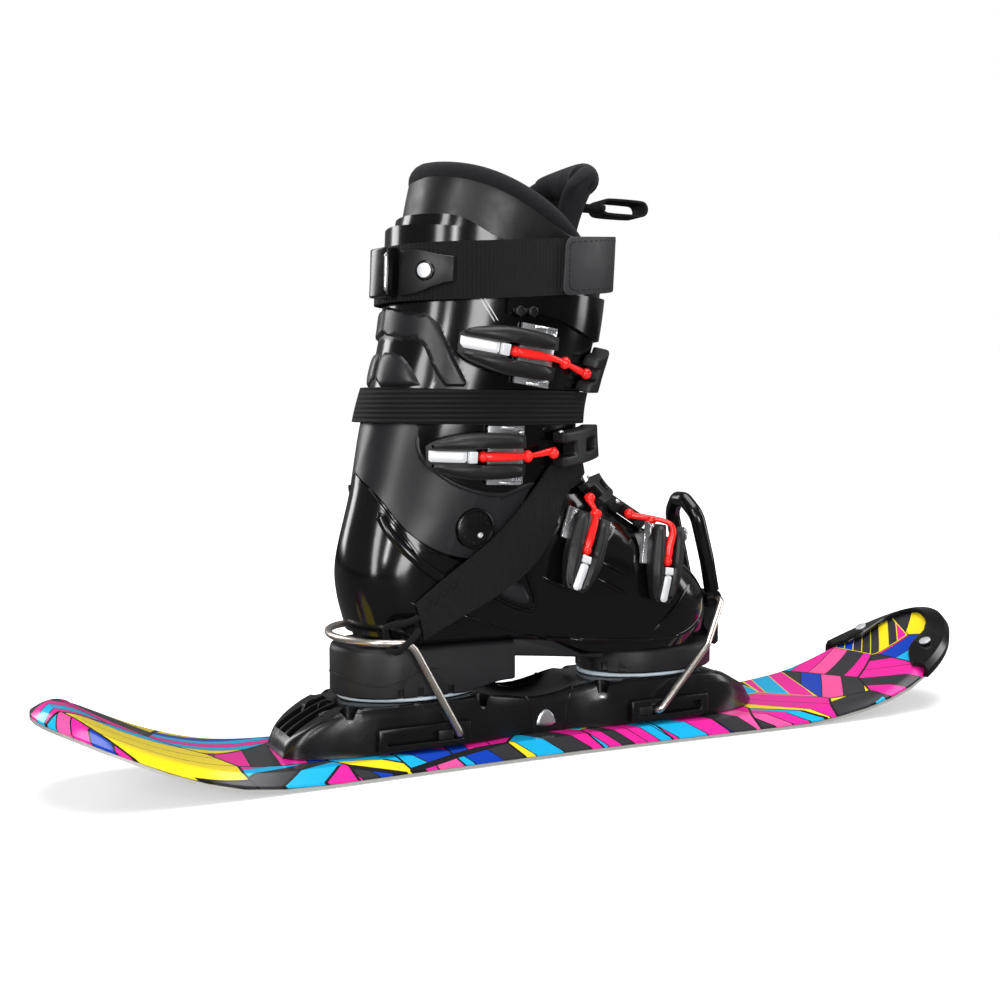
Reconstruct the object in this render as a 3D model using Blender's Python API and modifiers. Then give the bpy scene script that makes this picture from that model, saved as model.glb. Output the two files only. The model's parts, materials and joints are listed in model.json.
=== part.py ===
"""A skiboard with its plate binding, the ski boot clamped in it and the leash.

Sizes are in millimetres and are turned into metres where the meshes are made. +X points to the tip,
+Z up, and the floor is the plane of the running base. The buckles are on the -Y side.
"""
import math

import bmesh
import bpy
from mathutils import Matrix, Vector

MM = 0.001
GAP = 0.3

# Board
TAIL_X = -306.0
TIP_X = 358.0
WAIST_HALF = 46.0
TAIL_HALF = 50.0
TAIL_WIDE_X = -255.0
TIP_HALF = 55.0
TIP_WIDE_X = 277.0
RISE = ((-306, 47), (-291, 42.5), (-261, 29), (-225, 12.5), (-194, 3.6), (-155, 0), (190, 0),
        (234, 3.8), (273, 12), (304, 23.5), (325, 33.5), (345, 45), (358, 54))
BOARD_THICK = 12.0
BOARD_END_THICK = 8.0
EDGE_WIDTH = 2.0
EDGE_HEIGHT = 1.9
BASE_THICK = 1.6
SIDEWALL = 1.4
CAP_SLANT = 6.0
CAP_CROWN = 10.0
BOARD_STATIONS = 34

# Tip guard
GUARD_THICK = 3.6
GUARD_DEPTH = 13.0
GUARD_LOBE = 8.0
GUARD_REACH = 0.80
GUARD_STATIONS = 22
GUARD_SCREW_RADIUS = 4.2
GUARD_SCREW_HEAD = 1.4

# Binding plate
PLATE_REAR_X = -166.0
PLATE_FRONT_X = 180.0
PLATE_HALF = 35.0
PLATE_TOP_HALF = 32.0
PLATE_TOP = 41.2
PLATE_STATIONS = 38
PANEL_SLOPE = 0.56
SCREW_PLACES = ((-128, 27.5), (-42, 28.0), (47, 27.5))
SCREW_SEAT = 31.0
SCREW_HOLE = 5.2
PAD_THICK = 2.7
HEEL_PAD_X = -79.0
TOE_PAD_X = 93.0
PAD_LENGTH = 92.0
PAD_WIDTH = 62.0
SLOT_Z = 21.0
SLOT_HEIGHT = 6.8
SLOT_LENGTH = 49.0
FRAME_THICK = 4.5
FRAME_BORDER = 5.6
FRAME_HEIGHT = 14.2
BLOCK_LENGTH = 10.0

# Wire bails
WIRE_RADIUS = 2.5
BAIL_GAP = 1.5
BAIL_Y = PLATE_HALF + FRAME_THICK + BAIL_GAP + WIRE_RADIUS
BAIL_BEND = 22.0
HEEL_WIRE_X = -61.5
TOE_WIRE_X = 82.3
BAIL_LEG_TOP_X = -97.0
BAIL_LOOP_Z = 80.5
BAIL_LOOP_DEPTH = 31.5
CROSS_X = 144.5
CROSS_Z = 88.5
CROSS_Y = 25.0

# Toe clip and lever
CLIP_HALF = 11.0
CLIP_EYE = 5.2
CLIP_FRONT = 7.1
LEVER_LEG_Y = 15.6
LEVER_TOP_Z = 163.0
LEVER_BACK = 18.0
LEVER_BAR = 5.6
LEVER_EAR = 6.4
EAR_WIDTH = 7.0

# Boot sole
SOLE_Z = 44.5
SOLE_REAR_X = -129.0
SOLE_FRONT_X = 146.0
HEEL_LUG_TOP = 75.3
TOE_LUG_TOP = 61.6
LUG_HALF = 34.5
LUG_ROUND = 4.0
HEEL_BLOCK_FRONT = -20.0
TOE_BLOCK_REAR = 47.0
HEEL_BLOCK_LIFT = 5.5
ARCH_HALF = 31.0
TREAD_DEPTH = 2.5
SOLE_CHAMFER = 1.2

# Boot outline: places along the height (Z) and along the sole (X)
BOOT_REAR = ((62, -117), (80, -118), (104, -124), (119, -125.5), (132, -124), (151, -119.5),
             (168, -115), (180, -113), (217, -106), (238, -99.5), (286, -90.5), (332, -88.5), (340, -86),
             (352, -77), (380, -75))
BOOT_FRONT = ((62, 133), (80, 137), (92, 136.5), (100, 133.5), (108, 127), (118, 116), (130, 100),
              (142, 82), (152, 66), (162, 52), (172, 44), (185, 39), (216, 36), (240, 41), (262, 48),
              (290, 52), (332, 54), (380, 56))
FOOT_HALF = ((-130, 36), (-80, 38), (-30, 39), (30, 44), (75, 48), (110, 46), (140, 45))
LEG_HALF = ((110, 43), (150, 44), (180, 45), (216, 48), (254, 51), (300, 54), (380, 56))
HEEL_ROUND = 36.0
TOE_ROUND = 45.0
OUTLINE_POWER = 2.25
RING_POINTS = 36
LEG_FROM_Z = 118.0
LEG_FULL_Z = 178.0

# Lower shell and cuff: heights along the outline, 0 at the heel and 1 at the front
CUFF_EDGE = ((0, 181), (0.16, 166), (0.25, 145), (0.32, 133), (0.396, 127), (0.45, 131),
             (0.5, 146), (0.56, 166), (0.67, 184), (1, 192))
CUFF_TOP = ((0, 332), (0.3, 328), (0.6, 306), (1, 296))
CUFF_GAP_REAR = 1.0
CUFF_GAP_FRONT = 5.6
CUFF_THICK = 4.0
NECK_INSET = 7.6
SHELL_THICK = 4.4
UNDERSIDE = ((0, 5.0), (0.055, 3.6), (0.07, 0))
NECK_RISE = 14.0
ARCH_X = 2.0
HEEL_FLOOR = 80.0
TOE_FLOOR = 67.0
LINER_FOOT_THICK = 5.0
FOOT_LEVELS = (0, 0.14, 0.3, 0.46, 0.62, 0.78)
LINER_FOOT_GAP = 1.8
LINER_INSET_LOW = 16.2
LINER_INSET_HIGH = 7.4
LINER_THICK = 6.0
LINER_TOP = ((0, 371), (0.28, 365), (0.48, 351), (0.65, 334), (0.8, 320), (1, 314))
COLLAR_BULGE = 3.8
COLLAR_HEIGHT = 12.0
TONGUE_TOP = 376.0
TONGUE_FOOT = 232.0
TONGUE_REACH = 0.34
TONGUE_COLUMNS = 14
LOOP_Z = 353.0
LOOP_HALF = 5.6
LOOP_LENGTH = 31.0

# Cuff fittings
ANKLE_X = -51.0
ANKLE_Z = 147.0
RIVET_RADIUS = 12.2
RIVET_HEAD = 3.4
RIVET_SEAT = 2.0
RIVET_SHAFT = 4.0
SPOILER_TOP = ((0, 341), (0.25, 337), (0.42, 320))
STRAP_HEIGHT = 34.0
STRAP_THICK = 2.2
STRAP_Z = ((0, 301), (0.3, 302), (0.7, 309), (1, 317))
BAND_Z = 221.2
BAND_HEIGHT = 20.6
WEB_THICK = 1.8
WEB_Z = ((0.24, 92), (0.45, 129), (0.6, 161), (0.69, 178), (0.85, 188), (1, 191), (1.3, 193), (1.5, 197))
WEB_HEIGHT = ((0.24, 22), (0.45, 30), (0.6, 23), (0.69, 23), (0.85, 22), (1.5, 22))
WEB_LIFT = ((0.24, 0.8), (0.38, 3.0), (0.5, 3.0), (0.62, 0.9), (1.5, 0.9))
CORD_RADIUS = 2.0

# Buckles
LEVER_LENGTH = 58.0
LEVER_THICK = 7.0
LEVER_CLEAR = 3.9
LEVER_PIN = -2.0
BASE_LIFT = 1.4
EAR_GAP = 1.9
TRIM_LIFT = 0.8
FORK_SLOT = 5.2
FORK_HALF = 15.5
GRIP_HALF = 10.5
FORK_LENGTH = 32.0
BASE_PLATE_THICK = 2.2
EAR_THICK = 1.8
ROD_RADIUS = 2.7
ROD_SWELL = (1.0, 1.15, 1.2, 1.2, 1.15, 1.1, 1.0, 0.85, 0.72, 0.68, 0.7, 0.95, 0.9)
ROD_END_TURN = 0.012 * math.pi
ROD_LIFT = 8.0
CATCH_THICK = 11.0
LOW_CATCH_THICK = 8.0
BASE_ROWS = (-22, -16, -10, -4, 2)
BRACKET_ROWS = (-30, -24, -18, -12, -8)
BRACKET_DEPTH = 9.0

TAU = 2.0 * math.pi


def clear_scene():
    for old in list(bpy.data.objects):
        bpy.data.objects.remove(old, do_unlink=True)
    for old in list(bpy.data.collections):
        bpy.data.collections.remove(old)


clear_scene()
PARTS = bpy.data.collections.new("skiboard")
CUTTERS = bpy.data.collections.new("cutters")
bpy.context.scene.collection.children.link(PARTS)
bpy.context.scene.collection.children.link(CUTTERS)


# Materials


def material(name, color, roughness, metallic=0.0):
    made = bpy.data.materials.new(name)
    made.use_nodes = True
    shader = made.node_tree.nodes["Principled BSDF"]
    shader.inputs["Base Color"].default_value = (*color, 1.0)
    shader.inputs["Roughness"].default_value = roughness
    shader.inputs["Metallic"].default_value = metallic
    return made


PRINTED_CAP = material("printed_cap", (0.80, 0.03, 0.33), 0.25)
BASE_POLYMER = material("running_base", (0.02, 0.02, 0.02), 0.35)
EDGE_STEEL = material("edge_steel", (0.42, 0.40, 0.38), 0.35, 1.0)
BLACK_MOULDED = material("black_moulded", (0.012, 0.012, 0.013), 0.42)
PALE_PAD = material("pale_pad", (0.62, 0.70, 0.76), 0.4)
WIRE_STEEL = material("wire_steel", (0.62, 0.60, 0.58), 0.28, 1.0)
GLOSS_SHELL = material("gloss_shell", (0.008, 0.008, 0.009), 0.12)
SATIN_CUFF = material("satin_cuff", (0.016, 0.016, 0.018), 0.35)
SOLE_RUBBER = material("sole_rubber", (0.014, 0.014, 0.015), 0.6)
LINER_CLOTH = material("liner_cloth", (0.016, 0.016, 0.018), 0.85)
WEBBING = material("webbing", (0.010, 0.010, 0.011), 0.8)
LEVER_PLASTIC = material("lever_plastic", (0.022, 0.022, 0.024), 0.45)
BUCKLE_CHROME = material("buckle_chrome", (0.70, 0.70, 0.72), 0.15, 1.0)
ROD_RED = material("rod_red", (0.85, 0.02, 0.01), 0.3)
PATCH_LEATHER = material("patch_leather", (0.05, 0.05, 0.052), 0.6)


# Small tools


def along(points, t):
    """Smooth value at t through (place, value) points, without overshoot."""
    if t <= points[0][0]:
        return points[0][1]
    if t >= points[-1][0]:
        return points[-1][1]
    steps = [(b[1] - a[1]) / (b[0] - a[0]) for a, b in zip(points, points[1:])]
    slopes = [steps[0]]
    for before, after in zip(steps, steps[1:]):
        product = before * after
        slopes.append(2.0 * product / (before + after) if product > 0 else 0.0)
    slopes.append(steps[-1])
    index = 0
    while points[index + 1][0] < t:
        index += 1
    (t0, y0), (t1, y1) = points[index], points[index + 1]
    width = t1 - t0
    s = (t - t0) / width
    rise = s * s * (3.0 - 2.0 * s)
    lead = s * (1.0 - s) * (1.0 - s)
    trail = s * s * (s - 1.0)
    return y0 + (y1 - y0) * rise + width * (lead * slopes[index] + trail * slopes[index + 1])


def ramp(a, b, t):
    """Smooth step from 0 at a to 1 at b."""
    s = min(max((t - a) / (b - a), 0.0), 1.0)
    return s * s * (3.0 - 2.0 * s)


def spread(count):
    """Places from 0 to 1 that crowd towards both ends."""
    return [0.5 - 0.5 * math.cos(math.pi * i / count) for i in range(count + 1)]


def finish(name, bm, surface, smooth_angle=40.0):
    """Close a bmesh given in millimetres into an object in the parts collection."""
    bmesh.ops.scale(bm, vec=(MM, MM, MM), verts=bm.verts)
    bmesh.ops.recalc_face_normals(bm, faces=bm.faces)
    mesh = bpy.data.meshes.new(name)
    bm.to_mesh(mesh)
    bm.free()
    mesh.materials.append(surface)
    mesh.shade_smooth()
    mesh.set_sharp_from_angle(angle=math.radians(smooth_angle))
    made = bpy.data.objects.new(name, mesh)
    PARTS.objects.link(made)
    return made


def cap(bm, row):
    """Close one end of a loft whose row runs round the boot's outline, from heel to heel."""
    count = len(row)
    half = count // 2
    for i in range(half):
        corners = [row[i], row[i + 1], row[(count - i - 1) % count], row[(count - i) % count]]
        corners = list(dict.fromkeys(corners))
        bm.faces.new(corners)


def ladder(bm, row):
    """Close one end of a loft whose first and second half of points face each other."""
    count = len(row)
    for i in range(count // 2):
        corners = list(dict.fromkeys((row[i], row[i + 1], row[count - 2 - i], row[count - 1 - i])))
        if len(corners) > 2:
            bm.faces.new(corners)


def loft(name, rings, surface, closed=False, facing_sides=False, smooth_angle=40.0):
    """Skin a row of equal rings. closed joins the last ring to the first, as on a tube wall."""
    bm = bmesh.new()
    rows = [[bm.verts.new(point) for point in ring] for ring in rings]
    pairs = list(zip(rows, rows[1:]))
    if closed:
        pairs.append((rows[-1], rows[0]))
    for lower, upper in pairs:
        for i in range(len(lower)):
            j = (i + 1) % len(lower)
            bm.faces.new((lower[i], lower[j], upper[j], upper[i]))
    if not closed:
        close = ladder if facing_sides else cap
        close(bm, rows[0])
        close(bm, rows[-1])
    return finish(name, bm, surface, smooth_angle)


def slab(name, stations, keep, place, low, high, surface):
    """A plate made of cells: stations are (a, (b, b, ...)), and place puts (a, b, lift) in space."""
    bm = bmesh.new()
    bottom = {}
    top = {}

    def corner(i, j):
        a, across = stations[i]
        if (i, j) not in top:
            top[i, j] = bm.verts.new(place(a, across[j], high(a, across[j])))
            bottom[i, j] = bm.verts.new(place(a, across[j], low(a, across[j])))
        return top[i, j], bottom[i, j]

    rows = len(stations) - 1
    columns = len(stations[0][1]) - 1
    kept = {(i, j) for i in range(rows) for j in range(columns) if keep(i, j)}
    for i, j in kept:
        ring = [(i, j), (i + 1, j), (i + 1, j + 1), (i, j + 1)]
        uppers = [corner(*at)[0] for at in ring]
        lowers = [corner(*at)[1] for at in ring]
        bm.faces.new(uppers)
        bm.faces.new(list(reversed(lowers)))
        beside = [(i, j - 1), (i + 1, j), (i, j + 1), (i - 1, j)]
        for side, neighbour in enumerate(beside):
            if neighbour not in kept:
                after = (side + 1) % 4
                bm.faces.new((uppers[after], uppers[side], lowers[side], lowers[after]))
    return finish(name, bm, surface, 50.0)


def plate_outline(name, outline, surface, axis, start, end):
    """Extrude a closed outline along Y (axis 1, outline in XZ) or Z (axis 2, outline in XY)."""
    bm = bmesh.new()
    rows = []
    for level in (start, end):
        if axis == 1:
            rows.append([bm.verts.new((a, level, b)) for a, b in outline])
        else:
            rows.append([bm.verts.new((a, b, level)) for a, b in outline])
    for i in range(len(outline)):
        j = (i + 1) % len(outline)
        bm.faces.new((rows[0][i], rows[0][j], rows[1][j], rows[1][i]))
    bm.faces.new(rows[0])
    bm.faces.new(rows[1])
    return finish(name, bm, surface, 35.0)


def cylinder(name, radius, height, centre, direction, surface, sides=24, top_radius=None):
    bm = bmesh.new()
    narrow = radius if top_radius is None else top_radius
    bmesh.ops.create_cone(bm, cap_ends=True, segments=sides, radius1=radius, radius2=narrow, depth=height)
    turn = Vector((0, 0, 1)).rotation_difference(Vector(direction)).to_matrix().to_4x4()
    bmesh.ops.transform(bm, matrix=turn, verts=bm.verts)
    bmesh.ops.translate(bm, vec=Vector(centre), verts=bm.verts)
    return finish(name, bm, surface, 50.0)


def box(name, low, high, surface):
    bm = bmesh.new()
    bmesh.ops.create_cube(bm, size=1.0)
    size = [b - a for a, b in zip(low, high)]
    bmesh.ops.scale(bm, vec=size, verts=bm.verts)
    bmesh.ops.translate(bm, vec=[(a + b) / 2 for a, b in zip(low, high)], verts=bm.verts)
    return finish(name, bm, surface, 35.0)


def bevel(made, width, segments=2, angle=40.0):
    change = made.modifiers.new("rounded_edges", "BEVEL")
    change.width = width * MM
    change.segments = segments
    change.limit_method = "ANGLE"
    change.angle_limit = math.radians(angle)
    return made


def as_cutter(made):
    for held in list(made.users_collection):
        held.objects.unlink(made)
    CUTTERS.objects.link(made)
    made.hide_render = True
    made.display_type = "WIRE"
    return made


def combine(made, tool, operation):
    change = made.modifiers.new(operation.lower(), "BOOLEAN")
    change.operation = operation
    change.object = as_cutter(tool)
    change.solver = "EXACT"


def rounded_path(corners, radius, steps=4):
    """Points along straight runs whose corners are turned with arcs. radius is one for all or a list."""
    corners = [Vector(corner) for corner in corners]
    radii = radius if isinstance(radius, (list, tuple)) else [radius] * (len(corners) - 2)
    points = [corners[0]]
    for before, here, after, wanted in zip(corners, corners[1:], corners[2:], radii):
        back = (before - here).normalized()
        on = (after - here).normalized()
        half_angle = back.angle(on) / 2
        reach = min(wanted / math.tan(half_angle), (before - here).length * 0.45, (after - here).length * 0.45)
        turn_radius = reach * math.tan(half_angle)
        centre = here + (back + on).normalized() * (turn_radius / math.sin(half_angle))
        start = here + back * reach - centre
        end = here + on * reach - centre
        swing = start.angle(end)
        for step in range(steps + 1):
            s = step / steps
            mix = start * math.sin((1 - s) * swing) + end * math.sin(s * swing)
            points.append(centre + mix / math.sin(swing))
    points.append(corners[-1])
    return points


def smooth_path(corners, count):
    """Even points on a Catmull-Rom curve through the corners."""
    corners = [Vector(corner) for corner in corners]
    padded = [2 * corners[0] - corners[1], *corners, 2 * corners[-1] - corners[-2]]
    points = []
    spans = len(corners) - 1
    for i in range(count + 1):
        place = i / count * spans
        k = min(int(place), spans - 1)
        s = place - k
        a, b, c, d = padded[k:k + 4]
        points.append(0.5 * (2 * b + (c - a) * s + (2 * a - 5 * b + 4 * c - d) * s * s
                             + (3 * b - a - 3 * c + d) * s ** 3))
    return points


def tube(name, points, radius, surface, sides=2, swell=None):
    """A round tube along points, as a mesh with welded caps. swell scales its radius at each point."""
    curve = bpy.data.curves.new(name, "CURVE")
    curve.dimensions = "3D"
    curve.bevel_depth = radius * MM
    curve.bevel_resolution = sides
    curve.use_fill_caps = True
    spline = curve.splines.new("POLY")
    spline.points.add(len(points) - 1)
    for target, point, scale in zip(spline.points, points, swell or [1.0] * len(points)):
        target.co = (*(Vector(point) * MM), 1.0)
        target.radius = scale
    holder = bpy.data.objects.new(name + "_route", curve)
    PARTS.objects.link(holder)
    bpy.context.view_layer.update()
    evaluated = holder.evaluated_get(bpy.context.evaluated_depsgraph_get())
    mesh = bpy.data.meshes.new_from_object(evaluated)
    bpy.data.objects.remove(holder, do_unlink=True)
    bm = bmesh.new()
    bm.from_mesh(mesh)
    bmesh.ops.remove_doubles(bm, verts=bm.verts, dist=0.01 * MM)
    bmesh.ops.scale(bm, vec=(1 / MM, 1 / MM, 1 / MM), verts=bm.verts)
    return finish(name, bm, surface, 50.0)


def hold(parent, *pieces):
    """Parent pieces to an empty without moving them."""
    for piece in pieces:
        piece.parent = parent
        piece.matrix_parent_inverse = parent.matrix_basis.inverted()


def axis_empty(name, place):
    made = bpy.data.objects.new(name, None)
    made.empty_display_size = 0.02
    made.location = Vector(place) * MM
    PARTS.objects.link(made)
    return made


# Board


def board_rise(x):
    """Height of the running base above the floor."""
    return along(RISE, x)


def board_half(x):
    """Half width of the board at x."""
    if x > TIP_WIDE_X:
        s = min((x - TIP_WIDE_X) / (TIP_X - TIP_WIDE_X), 1.0)
        return TIP_HALF * (1 - s ** 2.1) ** 0.5
    if x < TAIL_WIDE_X:
        s = min((TAIL_WIDE_X - x) / (TAIL_WIDE_X - TAIL_X), 1.0)
        return TAIL_HALF * (1 - s ** 2.3) ** 0.5
    if x > 0:
        return WAIST_HALF + (TIP_HALF - WAIST_HALF) * math.sin(x / TIP_WIDE_X * math.pi / 2) ** 2
    return WAIST_HALF + (TAIL_HALF - WAIST_HALF) * math.sin(x / TAIL_WIDE_X * math.pi / 2) ** 2


def board_thickness(x):
    ends = max(ramp(120, 300, x), ramp(120, 290, -x))
    return BOARD_THICK + (BOARD_END_THICK - BOARD_THICK) * ends


def board_point(s, inset, lift):
    """Point at s along the near rim, moved in from it by inset and up by lift."""
    x = TAIL_X + (TIP_X - TAIL_X) * s
    step = 0.25
    ahead = (min(x + step, TIP_X), -board_half(min(x + step, TIP_X)))
    behind = (max(x - step, TAIL_X), -board_half(max(x - step, TAIL_X)))
    run = Vector((ahead[0] - behind[0], ahead[1] - behind[1])).normalized()
    inward = Vector((-run.y, run.x))
    y = -max(board_half(x), 0.4)
    at = Vector((x, y)) + inward * inset
    at.y = min(at.y, -0.2)
    return Vector((at.x, at.y, board_rise(x) + lift))


def both_sides(points):
    """The near points from the bottom up, then their mirror images from the top down."""
    return points + [Vector((p.x, -p.y, p.z)) for p in reversed(points)]


def board_place(x):
    return (x - TAIL_X) / (TIP_X - TAIL_X)


def make_board():
    floor = EDGE_HEIGHT + GAP
    deck_rings = []
    sheet_rings = []
    for s in spread(BOARD_STATIONS):
        top = board_thickness(TAIL_X + (TIP_X - TAIL_X) * s)
        deck_rings.append(both_sides([
            board_point(s, EDGE_WIDTH + GAP, floor),
            board_point(s, 0, floor),
            board_point(s, 0, floor + SIDEWALL),
            board_point(s, CAP_SLANT, top - 0.8),
            board_point(s, CAP_CROWN, top),
        ]))
        inset = EDGE_WIDTH + GAP
        sheet_rings.append(both_sides([board_point(s, inset, 0), board_point(s, inset, BASE_THICK)]))
    loft("deck", deck_rings, PRINTED_CAP, facing_sides=True)
    loft("base_sheet", sheet_rings, BASE_POLYMER, facing_sides=True)
    for side, name in ((1, "steel_edge_near"), (-1, "steel_edge_far")):
        rings = []
        for s in spread(BOARD_STATIONS):
            corners = [board_point(s, inset, lift) for inset, lift in
                       ((0, 0), (0, EDGE_HEIGHT), (EDGE_WIDTH, EDGE_HEIGHT), (EDGE_WIDTH, 0))]
            rings.append([Vector((p.x, p.y * side, p.z)) for p in corners])
        loft(name, rings, EDGE_STEEL, facing_sides=True)


def guard_place(t):
    """Station on the rim for t from -1 at the near end to 1 at the far end of the guard."""
    reach = GUARD_REACH * math.pi / 2
    angle = abs(t) * reach
    x = TIP_WIDE_X + (TIP_X - TIP_WIDE_X) * math.cos(angle) ** (2 / 2.1)
    return board_place(x)


def guard_depth(t):
    lobe = ramp(0.45, 0.75, abs(t))
    taper = 1 - 0.55 * ramp(0.86, 1.0, abs(t))
    return (GUARD_DEPTH + GUARD_LOBE * lobe) * taper


def make_guard():
    rings = []
    for i in range(GUARD_STATIONS + 1):
        t = -1 + 2 * i / GUARD_STATIONS
        s = guard_place(t)
        top = board_thickness(TAIL_X + (TIP_X - TAIL_X) * s)
        depth = guard_depth(t)
        profile = ((-GUARD_THICK - GAP, EDGE_HEIGHT + GAP), (-GUARD_THICK - GAP, top - 0.5),
                   (-0.6, top + GUARD_THICK), (depth - 1.0, top + GUARD_THICK), (depth, top + GUARD_THICK - 1.0),
                   (depth, top + 0.8), (-GAP, top + 0.8), (-GAP, EDGE_HEIGHT + GAP))
        ring = []
        for inset, lift in profile:
            p = board_point(s, inset, lift)
            ring.append(Vector((p.x, p.y if t < 0 else -p.y, p.z)))
        rings.append(ring if t != 0 else [Vector((p.x, 0.0, p.z)) for p in ring])
    loft("tip_guard", rings, BLACK_MOULDED, facing_sides=True)
    for side, name in ((-1, "guard_screw_near"), (1, "guard_screw_far")):
        s = guard_place(0.74)
        x = TAIL_X + (TIP_X - TAIL_X) * s
        lift = board_thickness(x) + GUARD_THICK + GAP + GUARD_SCREW_HEAD / 2
        at = board_point(s, (GUARD_DEPTH + GUARD_LOBE) / 2, lift)
        slope = (board_rise(x + 1) - board_rise(x - 1)) / 2
        normal = Vector((-slope, 0, 1)).normalized()
        centre = Vector((at.x, at.y * -side, at.z)) + normal * 0.9
        cylinder(name, GUARD_SCREW_RADIUS, GUARD_SCREW_HEAD, centre, normal, WIRE_STEEL, 16)


# Binding plate

PLATE_FLOOR = BOARD_THICK + GAP
PLATE_HEIGHTS = ((PLATE_REAR_X, 14), (-163, 22), (-148, 33), (-136, 38.6), (-122, PLATE_TOP),
                 (-30, PLATE_TOP), (-16, 37), (0, 35), (16, 37), (32, PLATE_TOP), (138, PLATE_TOP - 0.2),
                 (150, 35), (165, 27.5), (176, 20), (PLATE_FRONT_X, 14))
PLATE_WIDTHS = ((PLATE_REAR_X, 17), (-158, 25), (-140, 31), (-116, PLATE_HALF), (-46, PLATE_HALF),
                (-25, 30), (0, 26.5), (28, 28), (58, PLATE_HALF), (126, PLATE_HALF),
                (150, 30), (170, 20), (PLATE_FRONT_X, 11))


def make_plate():
    rings = []
    for s in spread(PLATE_STATIONS):
        x = PLATE_REAR_X + (PLATE_FRONT_X - PLATE_REAR_X) * s
        rim = along(PLATE_HEIGHTS, x)
        half = along(PLATE_WIDTHS, x)
        scoop = 9.0 * ramp(-40, -22, x) * (1 - ramp(22, 38, x))
        side_top = PLATE_FLOOR + (rim - PLATE_FLOOR) * 0.56
        near = [
            Vector((x, -half, PLATE_FLOOR)),
            Vector((x, -half, side_top)),
            Vector((x, -half + 1.6, max(rim - 2.4, side_top + 0.2))),
            Vector((x, -half + 3.4, rim - 0.5)),
            Vector((x, -half + 6.5, rim - 0.2 - 0.35 * scoop)),
            Vector((x, -half * 0.35, rim - scoop)),
        ]
        rings.append(both_sides(near))
    plate = loft("base_plate", rings, BLACK_MOULDED, facing_sides=True)
    panel_x = (-161.0, -130.0)
    for y0, y1 in ((-16.0, -7.0), (-5.0, 5.0), (7.0, 16.0)):
        floor = PLATE_FLOOR + 8.0
        pocket = box("panel_cut", (panel_x[0], y0, floor), (panel_x[1], y1, PLATE_TOP + 8.0), BLACK_MOULDED)
        for vertex in pocket.data.vertices:
            if vertex.co.z < (floor + 1.0) * MM:
                vertex.co.z += (vertex.co.x - panel_x[0] * MM) * PANEL_SLOPE
        combine(plate, pocket, "DIFFERENCE")
    for x, y in SCREW_PLACES:
        for side in (-1, 1):
            height = PLATE_TOP + 3.0 - SCREW_SEAT
            hole = cylinder("screw_hole", SCREW_HOLE, height, (x, side * y, SCREW_SEAT + height / 2), (0, 0, 1),
                            BLACK_MOULDED, 20, SCREW_HOLE + 0.8)
            combine(plate, hole, "DIFFERENCE")
    for name, x in (("heel_pad", HEEL_PAD_X), ("toe_pad", TOE_PAD_X)):
        bm = bmesh.new()
        bmesh.ops.create_cone(bm, cap_ends=True, segments=36, radius1=0.5, radius2=0.5, depth=PAD_THICK)
        bmesh.ops.scale(bm, vec=(PAD_LENGTH, PAD_WIDTH, 1), verts=bm.verts)
        centre = (x, 0, PLATE_TOP + GAP + PAD_THICK / 2)
        bmesh.ops.translate(bm, vec=centre, verts=bm.verts)
        bevel(finish(name, bm, PALE_PAD), 0.8, 1, 60.0)


def slot_frame(name, x0, side):
    """A flat frame round one slot; x0 is the slot's rear end."""
    inner_y = (PLATE_HALF + GAP) * side
    outer_y = (PLATE_HALF + GAP + FRAME_THICK) * side
    low_x = x0 - FRAME_BORDER
    high_x = x0 + SLOT_LENGTH + FRAME_BORDER
    low_z = SLOT_Z - FRAME_HEIGHT / 2
    high_z = SLOT_Z + FRAME_HEIGHT / 2
    stations = [(low_x, (low_z, SLOT_Z - SLOT_HEIGHT / 2, SLOT_Z + SLOT_HEIGHT / 2, high_z)),
                (x0, (low_z, SLOT_Z - SLOT_HEIGHT / 2, SLOT_Z + SLOT_HEIGHT / 2, high_z)),
                (x0 + SLOT_LENGTH, (low_z, SLOT_Z - SLOT_HEIGHT / 2, SLOT_Z + SLOT_HEIGHT / 2, high_z)),
                (high_x, (low_z, SLOT_Z - SLOT_HEIGHT / 2, SLOT_Z + SLOT_HEIGHT / 2, high_z))]
    slab(name, stations, lambda i, j: not (i == 1 and j == 1),
         lambda a, b, lift: Vector((a, lift, b)), lambda a, b: inner_y, lambda a, b: outer_y, BLACK_MOULDED)


HEEL_SLOT_X = HEEL_WIRE_X + WIRE_RADIUS + GAP - SLOT_LENGTH
TOE_SLOT_X = TOE_WIRE_X - WIRE_RADIUS - 2 * GAP - BLOCK_LENGTH
BLOCK_Z = (SLOT_Z - SLOT_HEIGHT / 2 + GAP, SLOT_Z + SLOT_HEIGHT / 2 - GAP)


def make_slots():
    for side, place in ((-1, "near"), (1, "far")):
        slot_frame("heel_slot_" + place, HEEL_SLOT_X, side)
        slot_frame("toe_slot_" + place, TOE_SLOT_X, side)
        for end, wire_x in (("heel", HEEL_WIRE_X), ("toe", TOE_WIRE_X)):
            front = wire_x - WIRE_RADIUS - GAP
            ys = sorted((side * (PLATE_HALF + 2 * GAP), side * (PLATE_HALF + FRAME_THICK)))
            box(end + "_block_" + place, (front - BLOCK_LENGTH, ys[0], BLOCK_Z[0]), (front, ys[1], BLOCK_Z[1]),
                BLACK_MOULDED)


# Wire bails, clip and hand lever


def mirrored(points):
    """A path on the near side, carried on through its mirror image."""
    return points + [Vector((p.x, -p.y, p.z)) for p in reversed(points)]


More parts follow.
